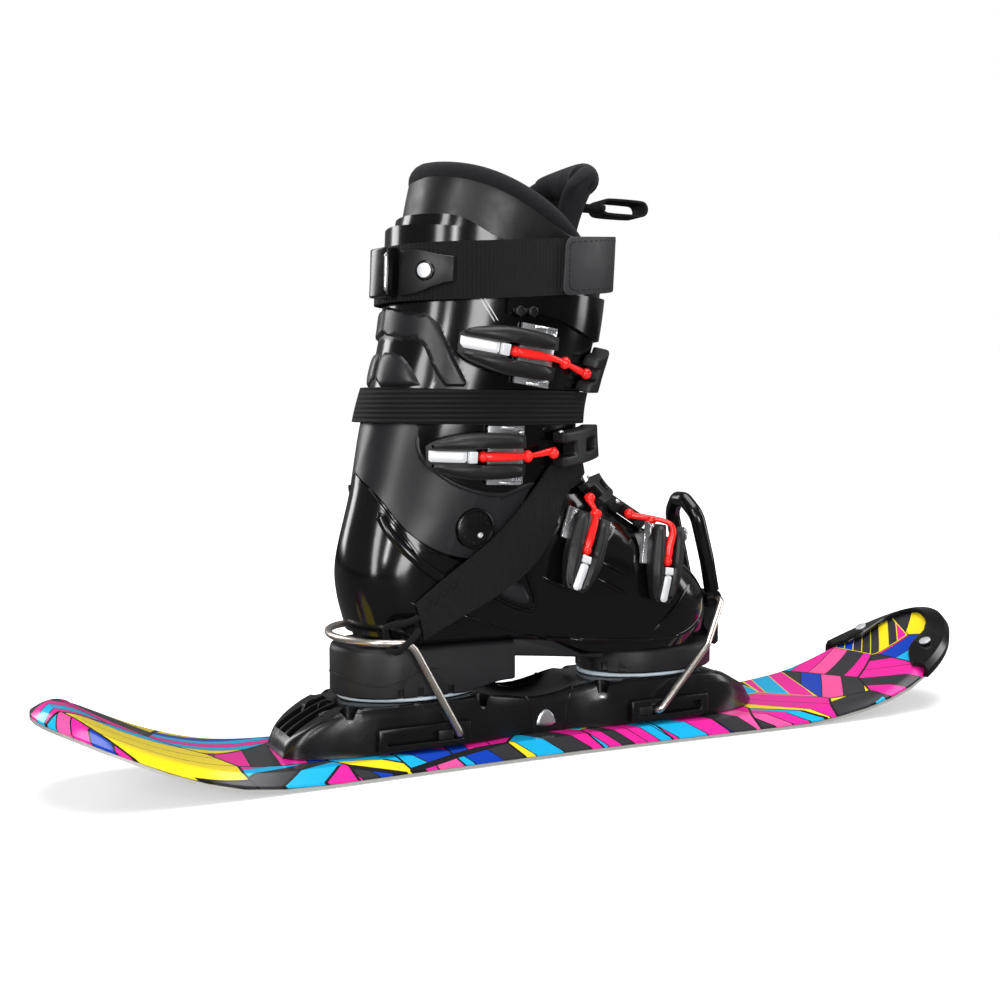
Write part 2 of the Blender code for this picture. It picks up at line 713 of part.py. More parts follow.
def make_bails():
    inner_y = -(PLATE_HALF + 4 * GAP)
    loop = []
    for i in range(9):
        angle = math.radians(2 + 86 * i / 8)
        loop.append(Vector((BAIL_LEG_TOP_X - BAIL_LOOP_DEPTH * math.sin(angle), -BAIL_Y * math.cos(angle),
                            BAIL_LOOP_Z)))
    start = rounded_path([(HEEL_WIRE_X, inner_y, SLOT_Z), (HEEL_WIRE_X, -BAIL_Y, SLOT_Z),
                          (BAIL_LEG_TOP_X + 3, -BAIL_Y, BAIL_LOOP_Z), loop[2]], (6.0, BAIL_BEND), 5)
    tube("heel_bail", mirrored(start + loop[3:]), WIRE_RADIUS, WIRE_STEEL)
    near = rounded_path([(TOE_WIRE_X, inner_y, SLOT_Z), (TOE_WIRE_X, -BAIL_Y, SLOT_Z),
                         (121, -BAIL_Y + 2, CROSS_Z - 27), (CROSS_X, -CROSS_Y, CROSS_Z),
                         (CROSS_X, -CROSS_Y + 14, CROSS_Z)], 6.0)
    tube("toe_bail", mirrored(near), WIRE_RADIUS, WIRE_STEEL)


def arc(centre, radius, from_angle, to_angle, steps):
    return [(centre[0] + radius * math.cos(math.radians(from_angle + (to_angle - from_angle) * i / steps)),
             centre[1] + radius * math.sin(math.radians(from_angle + (to_angle - from_angle) * i / steps)))
            for i in range(steps + 1)]


def make_clip_and_lever():
    pivot = (TOE_WIRE_X, SLOT_Z)
    corner = math.hypot(SOLE_FRONT_X - LUG_ROUND - pivot[0], TOE_LUG_TOP - LUG_ROUND - pivot[1]) + LUG_ROUND
    seat = corner + 2 * GAP
    rear_x = CROSS_X - CLIP_EYE
    rear_angle = math.degrees(math.acos((rear_x - pivot[0]) / seat))
    outline = arc(pivot, seat, 27.0, rear_angle, 6)
    outline += arc((CROSS_X, CROSS_Z), CLIP_EYE, 180, 0, 8)
    outline += [(CROSS_X + CLIP_FRONT, CROSS_Z - 8), (CROSS_X + CLIP_FRONT, outline[0][1] + 2)]
    clip = plate_outline("toe_clip", outline, BLACK_MOULDED, 1, -CLIP_HALF, CLIP_HALF)
    hole = cylinder("clip_bore", WIRE_RADIUS + GAP, 4 * CLIP_HALF, (CROSS_X, 0, CROSS_Z), (0, 1, 0),
                    BLACK_MOULDED, 16)
    combine(clip, hole, "DIFFERENCE")
    arch = rounded_path([
        (CROSS_X - 2.0, -LEVER_LEG_Y, CROSS_Z + 5.8),
        (CROSS_X - 7.0, -LEVER_LEG_Y - 0.6, CROSS_Z + 28),
        (CROSS_X - LEVER_BACK + 3, -LEVER_LEG_Y, LEVER_TOP_Z - 16),
        (CROSS_X - LEVER_BACK, -LEVER_LEG_Y + 11, LEVER_TOP_Z - LEVER_BAR),
        (CROSS_X - LEVER_BACK, 0, LEVER_TOP_Z - LEVER_BAR),
    ], 14.0, 5)
    lever = tube("toe_lever", mirrored(arch[:-1]), LEVER_BAR, BLACK_MOULDED)
    for side in (-1, 1):
        centre = (CROSS_X, side * (CLIP_HALF + 2 * GAP + EAR_WIDTH / 2), CROSS_Z)
        ear = cylinder("lever_ear", LEVER_EAR, EAR_WIDTH, (CROSS_X - 2.0, centre[1], CROSS_Z), (0, 1, 0),
                       BLACK_MOULDED, 20)
        combine(lever, ear, "UNION")
        bore = cylinder("ear_bore", WIRE_RADIUS + GAP, 2 * EAR_WIDTH, centre, (0, 1, 0), BLACK_MOULDED, 16)
        combine(lever, bore, "DIFFERENCE")


# Boot outline


def boot_half(x, z):
    foot = along(FOOT_HALF, x) * (1 - 0.10 * ramp(92, 60, z))
    leg = along(LEG_HALF, z)
    blend = ramp(LEG_FROM_Z, LEG_FULL_Z, z)
    return foot + (leg - foot) * blend


def boot_skin(angle, z):
    """Point on the boot's outline at a height; angle is 0 at the heel and pi at the front."""
    rear = along(BOOT_REAR, z)
    front = along(BOOT_FRONT, z)
    length = front - rear
    x = rear + length * (1 - math.cos(angle)) / 2
    blend = ramp(LEG_FROM_Z, LEG_FULL_Z, z)
    heel_round = HEEL_ROUND + (length / 2 - HEEL_ROUND) * blend
    toe_round = TOE_ROUND + (length / 2 - TOE_ROUND) * blend
    fraction = (1 - math.cos(angle)) / 2
    from_rear = length * fraction
    from_front = length - from_rear
    away = max(1 - from_rear / heel_round, 1 - from_front / toe_round, 0.0)
    full = (1 - away ** OUTLINE_POWER) ** (1 / OUTLINE_POWER)
    side = -1 if math.sin(angle) >= 0 else 1
    return Vector((x, side * boot_half(x, z) * full, z))


def skin(angle, z, out):
    """Point out from the boot's outline along its normal."""
    turn = 0.03
    rise = 0.8
    along_ring = boot_skin(angle + turn, z) - boot_skin(angle - turn, z)
    up = boot_skin(angle, z + rise) - boot_skin(angle, z - rise)
    normal = up.cross(along_ring).normalized()
    centre = Vector(((along(BOOT_REAR, z) + along(BOOT_FRONT, z)) / 2, 0, z))
    here = boot_skin(angle, z)
    if normal.dot(here - centre) < 0:
        normal = -normal
    return here + normal * out


def side_angle(x, z):
    """The near side's angle at which the outline at z passes x."""
    rear = along(BOOT_REAR, z)
    front = along(BOOT_FRONT, z)
    fraction = min(max((x - rear) / (front - rear), 0.0), 1.0)
    return math.acos(1 - 2 * fraction)


def on_side(x, z, out, side=-1):
    point = skin(side_angle(x, z), z, out)
    return Vector((point.x, point.y * -side, point.z))


def turn_of(angle):
    """0 at the heel and 1 at the front, on either side."""
    return angle / math.pi if angle <= math.pi else 2 - angle / math.pi


def ring_angles(count=RING_POINTS):
    return [TAU * i / count for i in range(count)]


def band(name, angles, low, high, inner, outer, surface, rows=2, closed=False):
    """A wall that follows the boot's outline: low and high are heights at an angle, inner and outer
    are offsets, each a number or a value at an angle."""
    offset = lambda value, angle: value(angle) if callable(value) else value
    rings = []
    for angle in angles:
        ring = []
        for k in range(rows + 1):
            z = low(angle) + (high(angle) - low(angle)) * k / rows
            ring.append(skin(angle, z, offset(outer, angle)))
        for k in reversed(range(rows + 1)):
            z = low(angle) + (high(angle) - low(angle)) * k / rows
            ring.append(skin(angle, z, offset(inner, angle)))
        rings.append(ring)
    return loft(name, rings, surface, closed=closed, facing_sides=True)


def edge_height(angle):
    return along(CUFF_EDGE, turn_of(angle))


def shell_height(angle):
    """Top of the lower shell's outer wall, just under the cuff's edge."""
    turn = turn_of(angle)
    return edge_height(angle) - (CUFF_GAP_REAR + (CUFF_GAP_FRONT - CUFF_GAP_REAR) * ramp(0.3, 0.42, turn))


def shell_base(x):
    drop = ramp(ARCH_X, ARCH_X + 24, x)
    return HEEL_LUG_TOP + GAP - (HEEL_LUG_TOP - TOE_LUG_TOP) * drop


def floor_height(x):
    return HEEL_FLOOR - (HEEL_FLOOR - TOE_FLOOR) * ramp(ARCH_X, ARCH_X + 50, x)


def level_ring(low, high, share, out):
    """One ring of points at a share of the way from low to high at each angle."""
    ring = []
    for angle in ring_angles():
        z = low(angle) + (high(angle) - low(angle)) * share
        ring.append(skin(angle, z, out))
    return ring


def foot_x(angle):
    """Where along the sole an angle lies at the height of the shell's base."""
    return boot_skin(angle, TOE_FLOOR).x


def make_lower_shell():
    base = lambda angle: shell_base(foot_x(angle))
    inside = lambda angle: floor_height(foot_x(angle))
    neck_top = lambda angle: edge_height(angle) + NECK_RISE
    rings = [level_ring(base, shell_height, share, -inset) for share, inset in UNDERSIDE]
    rings += [level_ring(base, shell_height, share, 0) for share in
              (0.15, 0.25, 0.34, 0.43, 0.52, 0.61, 0.71, 0.81, 0.91, 1.0)]
    rings += [level_ring(shell_height, neck_top, share, -NECK_INSET) for share in (0, 1.0)]
    wall = -NECK_INSET - 3.0
    rings += [level_ring(shell_height, neck_top, share, wall) for share in (1.0, -0.15)]
    rings += [level_ring(inside, shell_height, share, -SHELL_THICK - 1) for share in reversed(FOOT_LEVELS)]
    return loft("lower_shell", rings, GLOSS_SHELL)


def lug_ring(x0, x1, rear_round, front_round, z, inset):
    """Outline of a sole block in plan, with rounded ends where a rounding is given."""
    points = []
    steps = 16
    for fraction in spread(steps):
        x = x0 + inset + (x1 - x0 - 2 * inset) * fraction
        from_rear = x - x0 - inset
        from_front = x1 - inset - x
        away = 0.0
        if rear_round:
            away = max(away, 1 - from_rear / (rear_round - inset))
        if front_round:
            away = max(away, 1 - from_front / (front_round - inset))
        half = (LUG_HALF - inset) * math.sqrt(max(1 - away * away, 0.0))
        points.append(Vector((x, -max(half, 0.3), z)))
    return both_sides(points)


def tread_cut(block, x, y, facing, width, z0, z1):
    """A notch in a sole block at (x, y); facing is the direction in degrees that the block's side faces."""
    cut = box("tread_cut", (-TREAD_DEPTH, -width / 2, z0), (TREAD_DEPTH, width / 2, z1), SOLE_RUBBER)
    turn = Matrix.Rotation(math.radians(facing), 4, "Z")
    cut.data.transform(Matrix.Translation((x * MM, y * MM, 0)) @ turn)
    combine(block, cut, "DIFFERENCE")


def make_sole():
    toe_round = LUG_HALF + 6
    blocks = (("sole_heel", SOLE_REAR_X, HEEL_BLOCK_FRONT, LUG_HALF, 0, HEEL_LUG_TOP),
              ("sole_toe", TOE_BLOCK_REAR, SOLE_FRONT_X, toe_round, toe_round, TOE_LUG_TOP))
    made = []
    for name, x0, x1, rear_round, front_round, top in blocks:
        levels = ((SOLE_Z, SOLE_CHAMFER), (SOLE_Z + SOLE_CHAMFER, 0), (top - LUG_ROUND, 0),
                  (top - LUG_ROUND * 0.5, LUG_ROUND * 0.134), (top - LUG_ROUND * 0.134, LUG_ROUND * 0.5),
                  (top, LUG_ROUND))
        rings = [lug_ring(x0, x1, rear_round, front_round, z, inset) for z, inset in levels]
        for ring in rings[:2]:
            for point in ring:
                point.z += HEEL_BLOCK_LIFT * ramp(-56, HEEL_BLOCK_FRONT - 6, point.x) if front_round == 0 else 0
        made.append(loft(name, rings, SOLE_RUBBER, facing_sides=True))
    for side in (-1, 1):
        for x in (-97, -84, -64):
            tread_cut(made[0], x, side * LUG_HALF, 90, 4.0, SOLE_Z - 2, SOLE_Z + 6)
        for x, y, facing, top in ((48.8, 10, 160, 8.5), (54.5, 19, 140, 7.0), (63.5, 27, 125, 4.5)):
            tread_cut(made[1], x, side * y, side * facing, 5.0, SOLE_Z + 1.5, SOLE_Z + top)
    make_arch()


def make_arch():
    """The sole's arch, from the heel block to the toe block, under the shell's base."""
    x0 = HEEL_BLOCK_FRONT + GAP
    x1 = TOE_BLOCK_REAR - GAP
    outline = [(x1, TOE_LUG_TOP - 4.5), (30, TOE_LUG_TOP - 2.5), (6, TOE_LUG_TOP), (x0, TOE_LUG_TOP + 2.5),
               (x0, HEEL_LUG_TOP)]
    for angle in ring_angles()[:RING_POINTS // 2]:
        x = foot_x(angle)
        if x0 < x < x1:
            outline.append((x, shell_base(x) - 1.5 * GAP))
    outline.append((x1, shell_base(x1) - 1.5 * GAP))
    arch = plate_outline("sole_arch", outline, SOLE_RUBBER, 1, -ARCH_HALF, ARCH_HALF)
    bevel(arch, 1.0, 1)


def make_cuff():
    top = lambda angle: along(CUFF_TOP, turn_of(angle))
    outer = [level_ring(edge_height, top, k / 9, 0) for k in range(10)]
    inner = [level_ring(edge_height, top, k / 5, -CUFF_THICK) for k in reversed(range(6))]
    cuff = loft("cuff", outer + inner, SATIN_CUFF, closed=True)
    for side, name in ((-1, "ankle_rivet_near"), (1, "ankle_rivet_far")):
        wall = boot_half(ANKLE_X, ANKLE_Z)
        seat_y = wall - RIVET_SEAT
        seat = cylinder("rivet_seat", RIVET_RADIUS + 0.6, 12.0, (ANKLE_X, side * (seat_y + 6.0), ANKLE_Z),
                        (0, 1, 0), SATIN_CUFF, 32)
        combine(cuff, seat, "DIFFERENCE")
        hole = cylinder("rivet_hole", RIVET_SHAFT + GAP, 16.0, (ANKLE_X, side * (wall - 6.0), ANKLE_Z),
                        (0, 1, 0), SATIN_CUFF, 24)
        combine(cuff, hole, "DIFFERENCE")
        head_y = seat_y + GAP + RIVET_HEAD / 2
        head = cylinder(name, RIVET_RADIUS, RIVET_HEAD, (ANKLE_X, side * head_y, ANKLE_Z), (0, side, 0),
                        SATIN_CUFF, 32, RIVET_RADIUS - 0.8)
        shaft = cylinder("rivet_shaft", RIVET_SHAFT, 4.0, (ANKLE_X, side * (seat_y - 1.0), ANKLE_Z),
                         (0, 1, 0), SATIN_CUFF, 24)
        combine(head, shaft, "UNION")
    return cuff


def make_cuff_trim():
    reach = 0.42 * math.pi
    angles = [-reach + 2 * reach * i / 16 for i in range(17)]
    band("rear_spoiler", angles, lambda a: 300.0, lambda a: along(SPOILER_TOP, abs(a) / math.pi),
         -CUFF_THICK - 2.7, -CUFF_THICK - 1.0, GLOSS_SHELL, 3)
    angles = [math.pi * (0.43 + 0.81 * i / 17) for i in range(18)]
    band("shin_flap", angles, lambda a: 264.0 + 14.0 * (1 - ramp(0.5, 0.8, a / math.pi)), lambda a: 290.0,
         TRIM_LIFT, TRIM_LIFT + 2.4, GLOSS_SHELL, 2)
    angles = [math.pi * (0.98 + 0.30 * i / 12) for i in range(13)]
    far = lambda a: a / math.pi - 1
    band("instep_flap", angles, lambda a: 115.0 + 40.0 * far(a), lambda a: 136.0 - 6.0 * far(a),
         TRIM_LIFT, TRIM_LIFT + 2.2, GLOSS_SHELL, 4)


# Liner


def make_liner():
    inside = lambda angle: floor_height(foot_x(angle))
    outer_in = -SHELL_THICK - 1 - LINER_FOOT_GAP
    inner_in = outer_in - LINER_FOOT_THICK
    rings = [level_ring(lambda a: inside(a) + GAP, inside, 0, outer_in)]
    rings += [level_ring(inside, shell_height, share, outer_in) for share in FOOT_LEVELS[1:]]
    rings += [level_ring(inside, shell_height, share, inner_in) for share in (0.78, 0.56, 0.34, 0.12)]
    loft("liner_foot", rings, LINER_CLOTH)
    low = lambda angle: shell_height(angle) - 3.0
    knee = lambda angle: edge_height(angle) + NECK_RISE + 12.0
    top = lambda angle: along(LINER_TOP, turn_of(angle))
    shaft = [level_ring(low, knee, share, -LINER_INSET_LOW) for share in (0, 0.7)]
    shaft += [level_ring(knee, top, share, -LINER_INSET_HIGH) for share in (0, 0.3, 0.6, 0.85)]
    bead = lambda angle: top(angle) - COLLAR_HEIGHT
    middle = -LINER_INSET_HIGH - LINER_THICK / 2
    for turn in range(7):
        swing = math.pi * turn / 6
        out = middle + (LINER_THICK / 2 + COLLAR_BULGE) * math.cos(swing)
        lift = math.sin(swing)
        shaft.append(level_ring(lambda a: bead(a) + 2 + (COLLAR_HEIGHT - 2) * lift, top, 0, out))
    shaft += [level_ring(knee, top, share, -LINER_INSET_HIGH - LINER_THICK) for share in (0.85, 0.5, 0.1)]
    shaft += [level_ring(low, knee, share, -LINER_INSET_LOW - LINER_THICK) for share in (0.6, 0.0)]
    loft("liner_shaft", shaft, LINER_CLOTH, closed=True)


def make_tongue():
    rings = []
    inner_wall = -LINER_INSET_HIGH - LINER_THICK
    for i in range(TONGUE_COLUMNS + 1):
        across = 2 * i / TONGUE_COLUMNS - 1
        angle = math.pi * (1 + TONGUE_REACH * across)
        top = TONGUE_TOP - 16.0 * abs(across) ** 5
        thick = 8.0 - 4.0 * abs(across) ** 3
        roll = thick / 2 + 3.6
        start = 324 + 20 * abs(across)
        lean = lambda z: inner_wall - 5.6 + 10.5 * ramp(start, start + 32, z)
        heights = [TONGUE_FOOT + (top - 2 * roll - TONGUE_FOOT) * k / 6 for k in range(7)]
        ring = [skin(angle, z, lean(z)) for z in heights]
        for turn in range(5):
            swing = math.pi * turn / 4
            z = top - roll + roll * math.sin(swing)
            ring.append(skin(angle, z, lean(top) - thick / 2 + roll * math.cos(swing)))
        ring += [skin(angle, z, lean(z) - thick) for z in reversed(heights)]
        rings.append(ring)
    loft("tongue", rings, LINER_CLOTH, facing_sides=True)
    root_x = along(BOOT_FRONT, LOOP_Z) + 1.0
    outline = loop_outline(root_x, LOOP_HALF)
    strap = plate_outline("pull_loop", outline, WEBBING, 1, -9.0, 9.0)
    hollow = plate_outline("loop_hollow", loop_outline(root_x, LOOP_HALF - 1.5), WEBBING, 1, -14.0, 14.0)
    combine(strap, hollow, "DIFFERENCE")


def loop_outline(x, half):
    """Long round-ended outline of the pull loop, which starts at x."""
    rear = arc((x + LOOP_HALF, LOOP_Z), half, 90, 270, 6)
    return rear + arc((x + LOOP_LENGTH, LOOP_Z), half, -90, 90, 6)


# Power strap


def make_straps():
    angles = ring_angles()
    low = lambda a: along(STRAP_Z, turn_of(a)) - STRAP_HEIGHT / 2
    high = lambda a: along(STRAP_Z, turn_of(a)) + STRAP_HEIGHT / 2
    strap_in = GAP + 3.2
    band("power_strap", angles, low, high, strap_in, strap_in + STRAP_THICK, WEBBING, 2, closed=True)
    patch_angles = [math.pi * (0.58 + 0.44 * i / 12) for i in range(13)]
    outside = strap_in + STRAP_THICK + GAP
    band("strap_patch", patch_angles, lambda a: low(a) - 0.5, lambda a: high(a) + 0.5, outside, outside + 2.0,
         PATCH_LEATHER, 2)
    centre = lambda a: along(STRAP_Z, turn_of(a))
    narrow = lambda a: ramp(0.14, 0.28, a / math.pi)
    side_angles = [math.pi * (0.11 + 0.165 * i / 6) for i in range(7)]
    band("strap_side_plate", side_angles, lambda a: centre(a) - 14 + 7 * narrow(a),
         lambda a: centre(a) + 13 - 5 * narrow(a), outside, outside + 2.4, BLACK_MOULDED, 2)
    housing_angles = [math.pi * (0.016 + 0.08 * i / 4) for i in range(5)]
    band("strap_buckle", housing_angles, lambda a: centre(a) - 15, lambda a: centre(a) + 15, outside,
         outside + 9.0, BLACK_MOULDED, 2)
    rivet_angle = math.pi * 0.195
    at = skin(rivet_angle, centre(rivet_angle), outside + 2.4 + GAP + 0.9)
    outward = at - skin(rivet_angle, centre(rivet_angle), 0)
    cylinder("strap_rivet", 4.4, 1.4, at, outward.normalized(), WIRE_STEEL, 18)


# Leash


def make_leash():
    angles = ring_angles()
    leash_in = 3.4
    band("leash_band", angles, lambda a: BAND_Z - BAND_HEIGHT / 2, lambda a: BAND_Z + BAND_HEIGHT / 2,
         leash_in, leash_in + WEB_THICK, WEBBING, 2, closed=True)
    count = 30
    first = WEB_Z[0][0]
    last = WEB_Z[-1][0]
    web_angles = [math.pi * (first + (last - first) * i / count) for i in range(count + 1)]
    middle = lambda a: along(WEB_Z, a / math.pi)
    tall = lambda a: along(WEB_HEIGHT, a / math.pi)
    ceiling = BAND_Z - BAND_HEIGHT / 2 - GAP
    lift = lambda a: along(WEB_LIFT, a / math.pi)
    band("leash_webbing", web_angles, lambda a: middle(a) - tall(a) / 2,
         lambda a: min(middle(a) + tall(a) / 2, ceiling), lift, lambda a: lift(a) + WEB_THICK, WEBBING, 2)
    start = skin(math.pi * first, WEB_Z[0][1], lift(web_angles[0]) + WEB_THICK / 2)
    route = [start + Vector(step) for step in
             ((-2.6, -1.0, 2.5), (-8, -3.5, 1.5), (-14, -4.5, 0.5), (-19, -1.5, -0.5), (-21, 4.5, -3.5),
              (-19.5, 6.0, -10.5), (-19, 1.0, -15.8), (-17.5, -6.5, -16), (-13.5, -9, -12), (-8, -8.5, -7.5),
              (-3.4, -4.2, -4.5))]
    tube("leash_cord", smooth_path(route, 44), CORD_RADIUS, WEBBING, 1)


# Buckles


def lever_half(a):
    """Half width of a buckle lever, from the grip's end at minus its length to the fork's end at 0."""
    return along(((-LEVER_LENGTH, GRIP_HALF * 0.6), (-LEVER_LENGTH + 5, GRIP_HALF),
                  (-LEVER_LENGTH + 18, FORK_HALF - 1.5), (-FORK_LENGTH, FORK_HALF), (-12, FORK_HALF - 0.4),
                  (0, FORK_HALF - 1.6)), a)


def curved_place(x, z, tilt, width, scale):
    """Placing on the near side that follows the boot. (x, z) is the fork's end, tilt turns the pull up."""
    pull = Vector((math.cos(math.radians(tilt)), math.sin(math.radians(tilt))))
    across = Vector((-pull.y, pull.x))

    def place(a, b, out):
        at = Vector((x, z)) + pull * a * scale + across * b * width
        return on_side(at.x, at.y, out)

    return place


def flat_place(x, z, tilt, width, scale, rise=9.0):
    """Placing in the plane that touches the boot's near side at (x, z), rise below the lever's fork end."""
    at = on_side(x, z, 0.0)
    normal = (on_side(x, z, 5.0) - at).normalized()
    aim = Vector((math.cos(math.radians(tilt)), 0, math.sin(math.radians(tilt))))
    pull = (aim - normal * aim.dot(normal)).normalized()
    across = pull.cross(normal)

    def place(a, b, out):
        return at + pull * (a + rise) * scale + across * b * width + normal * out

    return place


def down_to_skin(place):
    """For a base that stands off the boot: how low it reaches under each point to meet the boot's side."""
    step = 0.25

    def low(a, b):
        out = BASE_LIFT
        point = place(a, b, out)
        while abs(point.y) > abs(on_side(point.x, point.z, BASE_LIFT).y) and out > -BRACKET_DEPTH:
            out -= step
            point = place(a, b, out)
        return out

    return low


def make_buckle(name, place, catch, base_low=lambda a, b: BASE_LIFT, rows=BASE_ROWS):
    """One buckle. place puts (along the lever, across it, out from the boot) in space."""
    stations = []
    for a in (-LEVER_LENGTH, -LEVER_LENGTH + 4, -48, -40, -FORK_LENGTH, -22, -11, 0):
        half = lever_half(a)
        slot = min(FORK_SLOT, half * 0.5)
        stations.append((a, (-half, -slot, slot, half)))
    fork_row = 4

    def lever_top(a, b):
        crown = 1.6 * (1 - (b / FORK_HALF) ** 2)
        rise = 0.55 + 0.45 * ramp(-LEVER_LENGTH, -38, a) - 0.2 * ramp(-12, 0, a)
        return LEVER_CLEAR + LEVER_THICK * rise + crown

    def lever_low(a, b):
        return LEVER_CLEAR + 1.4 * ramp(-22, -6, a)

    lever = slab(name + "_lever", stations, lambda i, j: not (i >= fork_row and j == 1), place, lever_low,
                 lever_top, LEVER_PLASTIC)

    edge = FORK_HALF + EAR_GAP + EAR_THICK
    base_rows = [(a, (-edge, 0, edge)) for a in rows]
    base = slab(name + "_base", base_rows, lambda i, j: True, place, base_low,
                lambda a, b: BASE_LIFT + BASE_PLATE_THICK, BUCKLE_CHROME)
    for side in (-1, 1):
        ys = tuple(sorted((side * (FORK_HALF + EAR_GAP), side * (edge - 0.3))))
        ear = slab("ear", [(a, ys) for a in (-13, -8, -2, 1)], lambda i, j: True, place,
                   lambda a, b: BASE_LIFT + 0.5, lambda a, b: 9.0 if -9 <= a <= -1 else 5.0, BUCKLE_CHROME)
        combine(base, ear, "UNION")

    catch_rows, catch_keep, catch_lift, catch_thick = catch
    rod_end = skin(catch_rows[0][0] - ROD_END_TURN, sum(catch_rows[0][1]) / 4, catch_lift + catch_thick * 0.55)
    rod_path = [place(-FORK_LENGTH + 5.0, 0, ROD_LIFT + 1), place(-16, 0, ROD_LIFT + 2),
                place(1.5, 0, ROD_LIFT + 1.5), rod_end]
    rod = tube(name + "_rod", smooth_path(rod_path, len(ROD_SWELL) - 1), ROD_RADIUS, ROD_RED, 2, ROD_SWELL)
    slab(name + "_catch", catch_rows, catch_keep, skin, lambda a, b: catch_lift,
         lambda a, b: catch_lift + catch_thick, LEVER_PLASTIC)

    hold(axis_empty(name + "_lever_axis", place(LEVER_PIN, 0, 6.5)), lever)
    hold(axis_empty(name + "_rod_axis", rod_path[0]), rod)


def ring_catch(angle0, angle1, rear_z, front_z, notch, lift=TRIM_LIFT, thick=CATCH_THICK):
    """A catch on the boot's front between two angles: rear_z and front_z are its heights at both ends.

    Its middle row of cells is open at the rear, where the rod's end sits, and has a window further on.
    """
    stations = []
    for s in (0, 0.24, 0.5, 0.82, 1.0):
        low = rear_z[0] + (front_z[0] - rear_z[0]) * s
        high = rear_z[1] + (front_z[1] - rear_z[1]) * s
        middle = (low + high) / 2
        stations.append((math.pi * (angle0 + (angle1 - angle0) * s), (low, middle - notch, middle + notch, high)))
    return stations, lambda i, j: not (i in (0, 2) and j == 1), lift, thick


def make_buckles():
    over_webbing = WEB_LIFT[-1][1] + WEB_THICK + 0.5
    make_buckle("buckle_upper", curved_place(-6, 251, -8, 0.95, 1.0),
                ring_catch(0.76, 0.92, (232, 254), (233, 261), 4.6))
    make_buckle("buckle_lower", curved_place(-24, 192, 0, 0.93, 1.0),
                ring_catch(0.66, 0.86, (184, 206), (188, 210.2), 4.4, over_webbing))
    make_buckle("buckle_instep", flat_place(25, 144, 68, 0.84, 0.86),
                ring_catch(0.745, 0.90, (154, 170), (158, 174), 4.0, over_webbing, LOW_CATCH_THICK))
    toe_place = flat_place(77, 117, 81, 0.80, 0.86, 32.0)
    make_buckle("buckle_toe", toe_place,
                ring_catch(0.84, 0.97, (140, 154), (139, 157), 3.6, TRIM_LIFT, LOW_CATCH_THICK),
                down_to_skin(toe_place), BRACKET_ROWS)


make_board()
make_guard()
make_plate()
make_slots()
make_bails()
make_clip_and_lever()
make_lower_shell()
make_sole()
make_cuff()
make_cuff_trim()
make_liner()
make_tongue()
make_straps()
make_leash()
make_buckles()
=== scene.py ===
# %% [markdown]
# # A skiboard with its boot
# A short, wide board with turned-up ends carries a moulded plate. Two wire bails clamp a ski boot
# with four buckles on the plate, and a leash ties the board to the boot. The solids come from the
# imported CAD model, which stays fixed. This script gives every surface its finish, turns the faceted
# solids into smooth ones, and adds the small things that make a part look real.

# %% Load the frame
import json
import math
import bmesh
import bpy
import numpy as np
from mathutils import Matrix, Vector
from mathutils.bvhtree import BVHTree
from mathutils.geometry import delaunay_2d_cdt

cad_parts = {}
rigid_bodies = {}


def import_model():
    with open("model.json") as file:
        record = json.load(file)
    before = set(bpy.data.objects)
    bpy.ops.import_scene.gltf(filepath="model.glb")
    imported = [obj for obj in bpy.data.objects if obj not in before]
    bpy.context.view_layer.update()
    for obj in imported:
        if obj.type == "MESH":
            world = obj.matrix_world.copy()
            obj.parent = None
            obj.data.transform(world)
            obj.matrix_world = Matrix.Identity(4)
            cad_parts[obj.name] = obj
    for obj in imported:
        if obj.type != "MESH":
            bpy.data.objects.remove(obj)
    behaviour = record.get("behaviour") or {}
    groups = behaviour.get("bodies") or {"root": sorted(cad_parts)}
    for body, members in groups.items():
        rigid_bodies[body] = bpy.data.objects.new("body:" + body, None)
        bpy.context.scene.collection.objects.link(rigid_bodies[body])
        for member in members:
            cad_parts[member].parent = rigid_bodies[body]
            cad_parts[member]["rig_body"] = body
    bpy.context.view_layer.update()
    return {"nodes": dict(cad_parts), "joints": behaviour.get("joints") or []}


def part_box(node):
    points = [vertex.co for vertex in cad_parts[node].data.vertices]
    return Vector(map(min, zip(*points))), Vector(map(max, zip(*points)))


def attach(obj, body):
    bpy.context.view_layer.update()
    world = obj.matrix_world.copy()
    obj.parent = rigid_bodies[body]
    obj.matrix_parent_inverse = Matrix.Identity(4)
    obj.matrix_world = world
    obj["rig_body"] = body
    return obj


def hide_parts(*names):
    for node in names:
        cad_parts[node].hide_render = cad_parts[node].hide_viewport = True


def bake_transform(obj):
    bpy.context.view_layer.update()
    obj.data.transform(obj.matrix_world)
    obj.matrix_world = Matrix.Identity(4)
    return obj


MM = 0.001
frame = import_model()
nodes = frame["nodes"]
joints = {joint["name"]: joint for joint in frame["joints"]}

# %% [markdown]
# ## The camera
# The camera comes first, because everything else is judged through it. It stands behind the boot's
# heel on the buckles' side, 220 mm above the floor, and looks 4 degrees down. A 47 mm lens on a
# 36 mm sensor gives the mild perspective of a catalogue picture.

# %% Camera
AZIMUTH = math.radians(26)
PITCH = math.radians(4)
camera = bpy.data.objects.new("camera", bpy.data.cameras.new("camera"))
bpy.context.scene.collection.objects.link(camera)
camera.data.sensor_width = 36
camera.data.lens = 46.8
camera.data.clip_start = 0.01
camera.location = (-0.383489, -0.758040, 0.219779)
looking = Vector((math.sin(AZIMUTH) * math.cos(PITCH), math.cos(AZIMUTH) * math.cos(PITCH),
                  -math.sin(PITCH)))
camera.rotation_euler = looking.to_track_quat("-Z", "Y").to_euler()
bpy.context.scene.camera = camera
bpy.context.scene.view_settings.view_transform = "Standard"
print("camera looks along", tuple(round(c, 3) for c in looking))

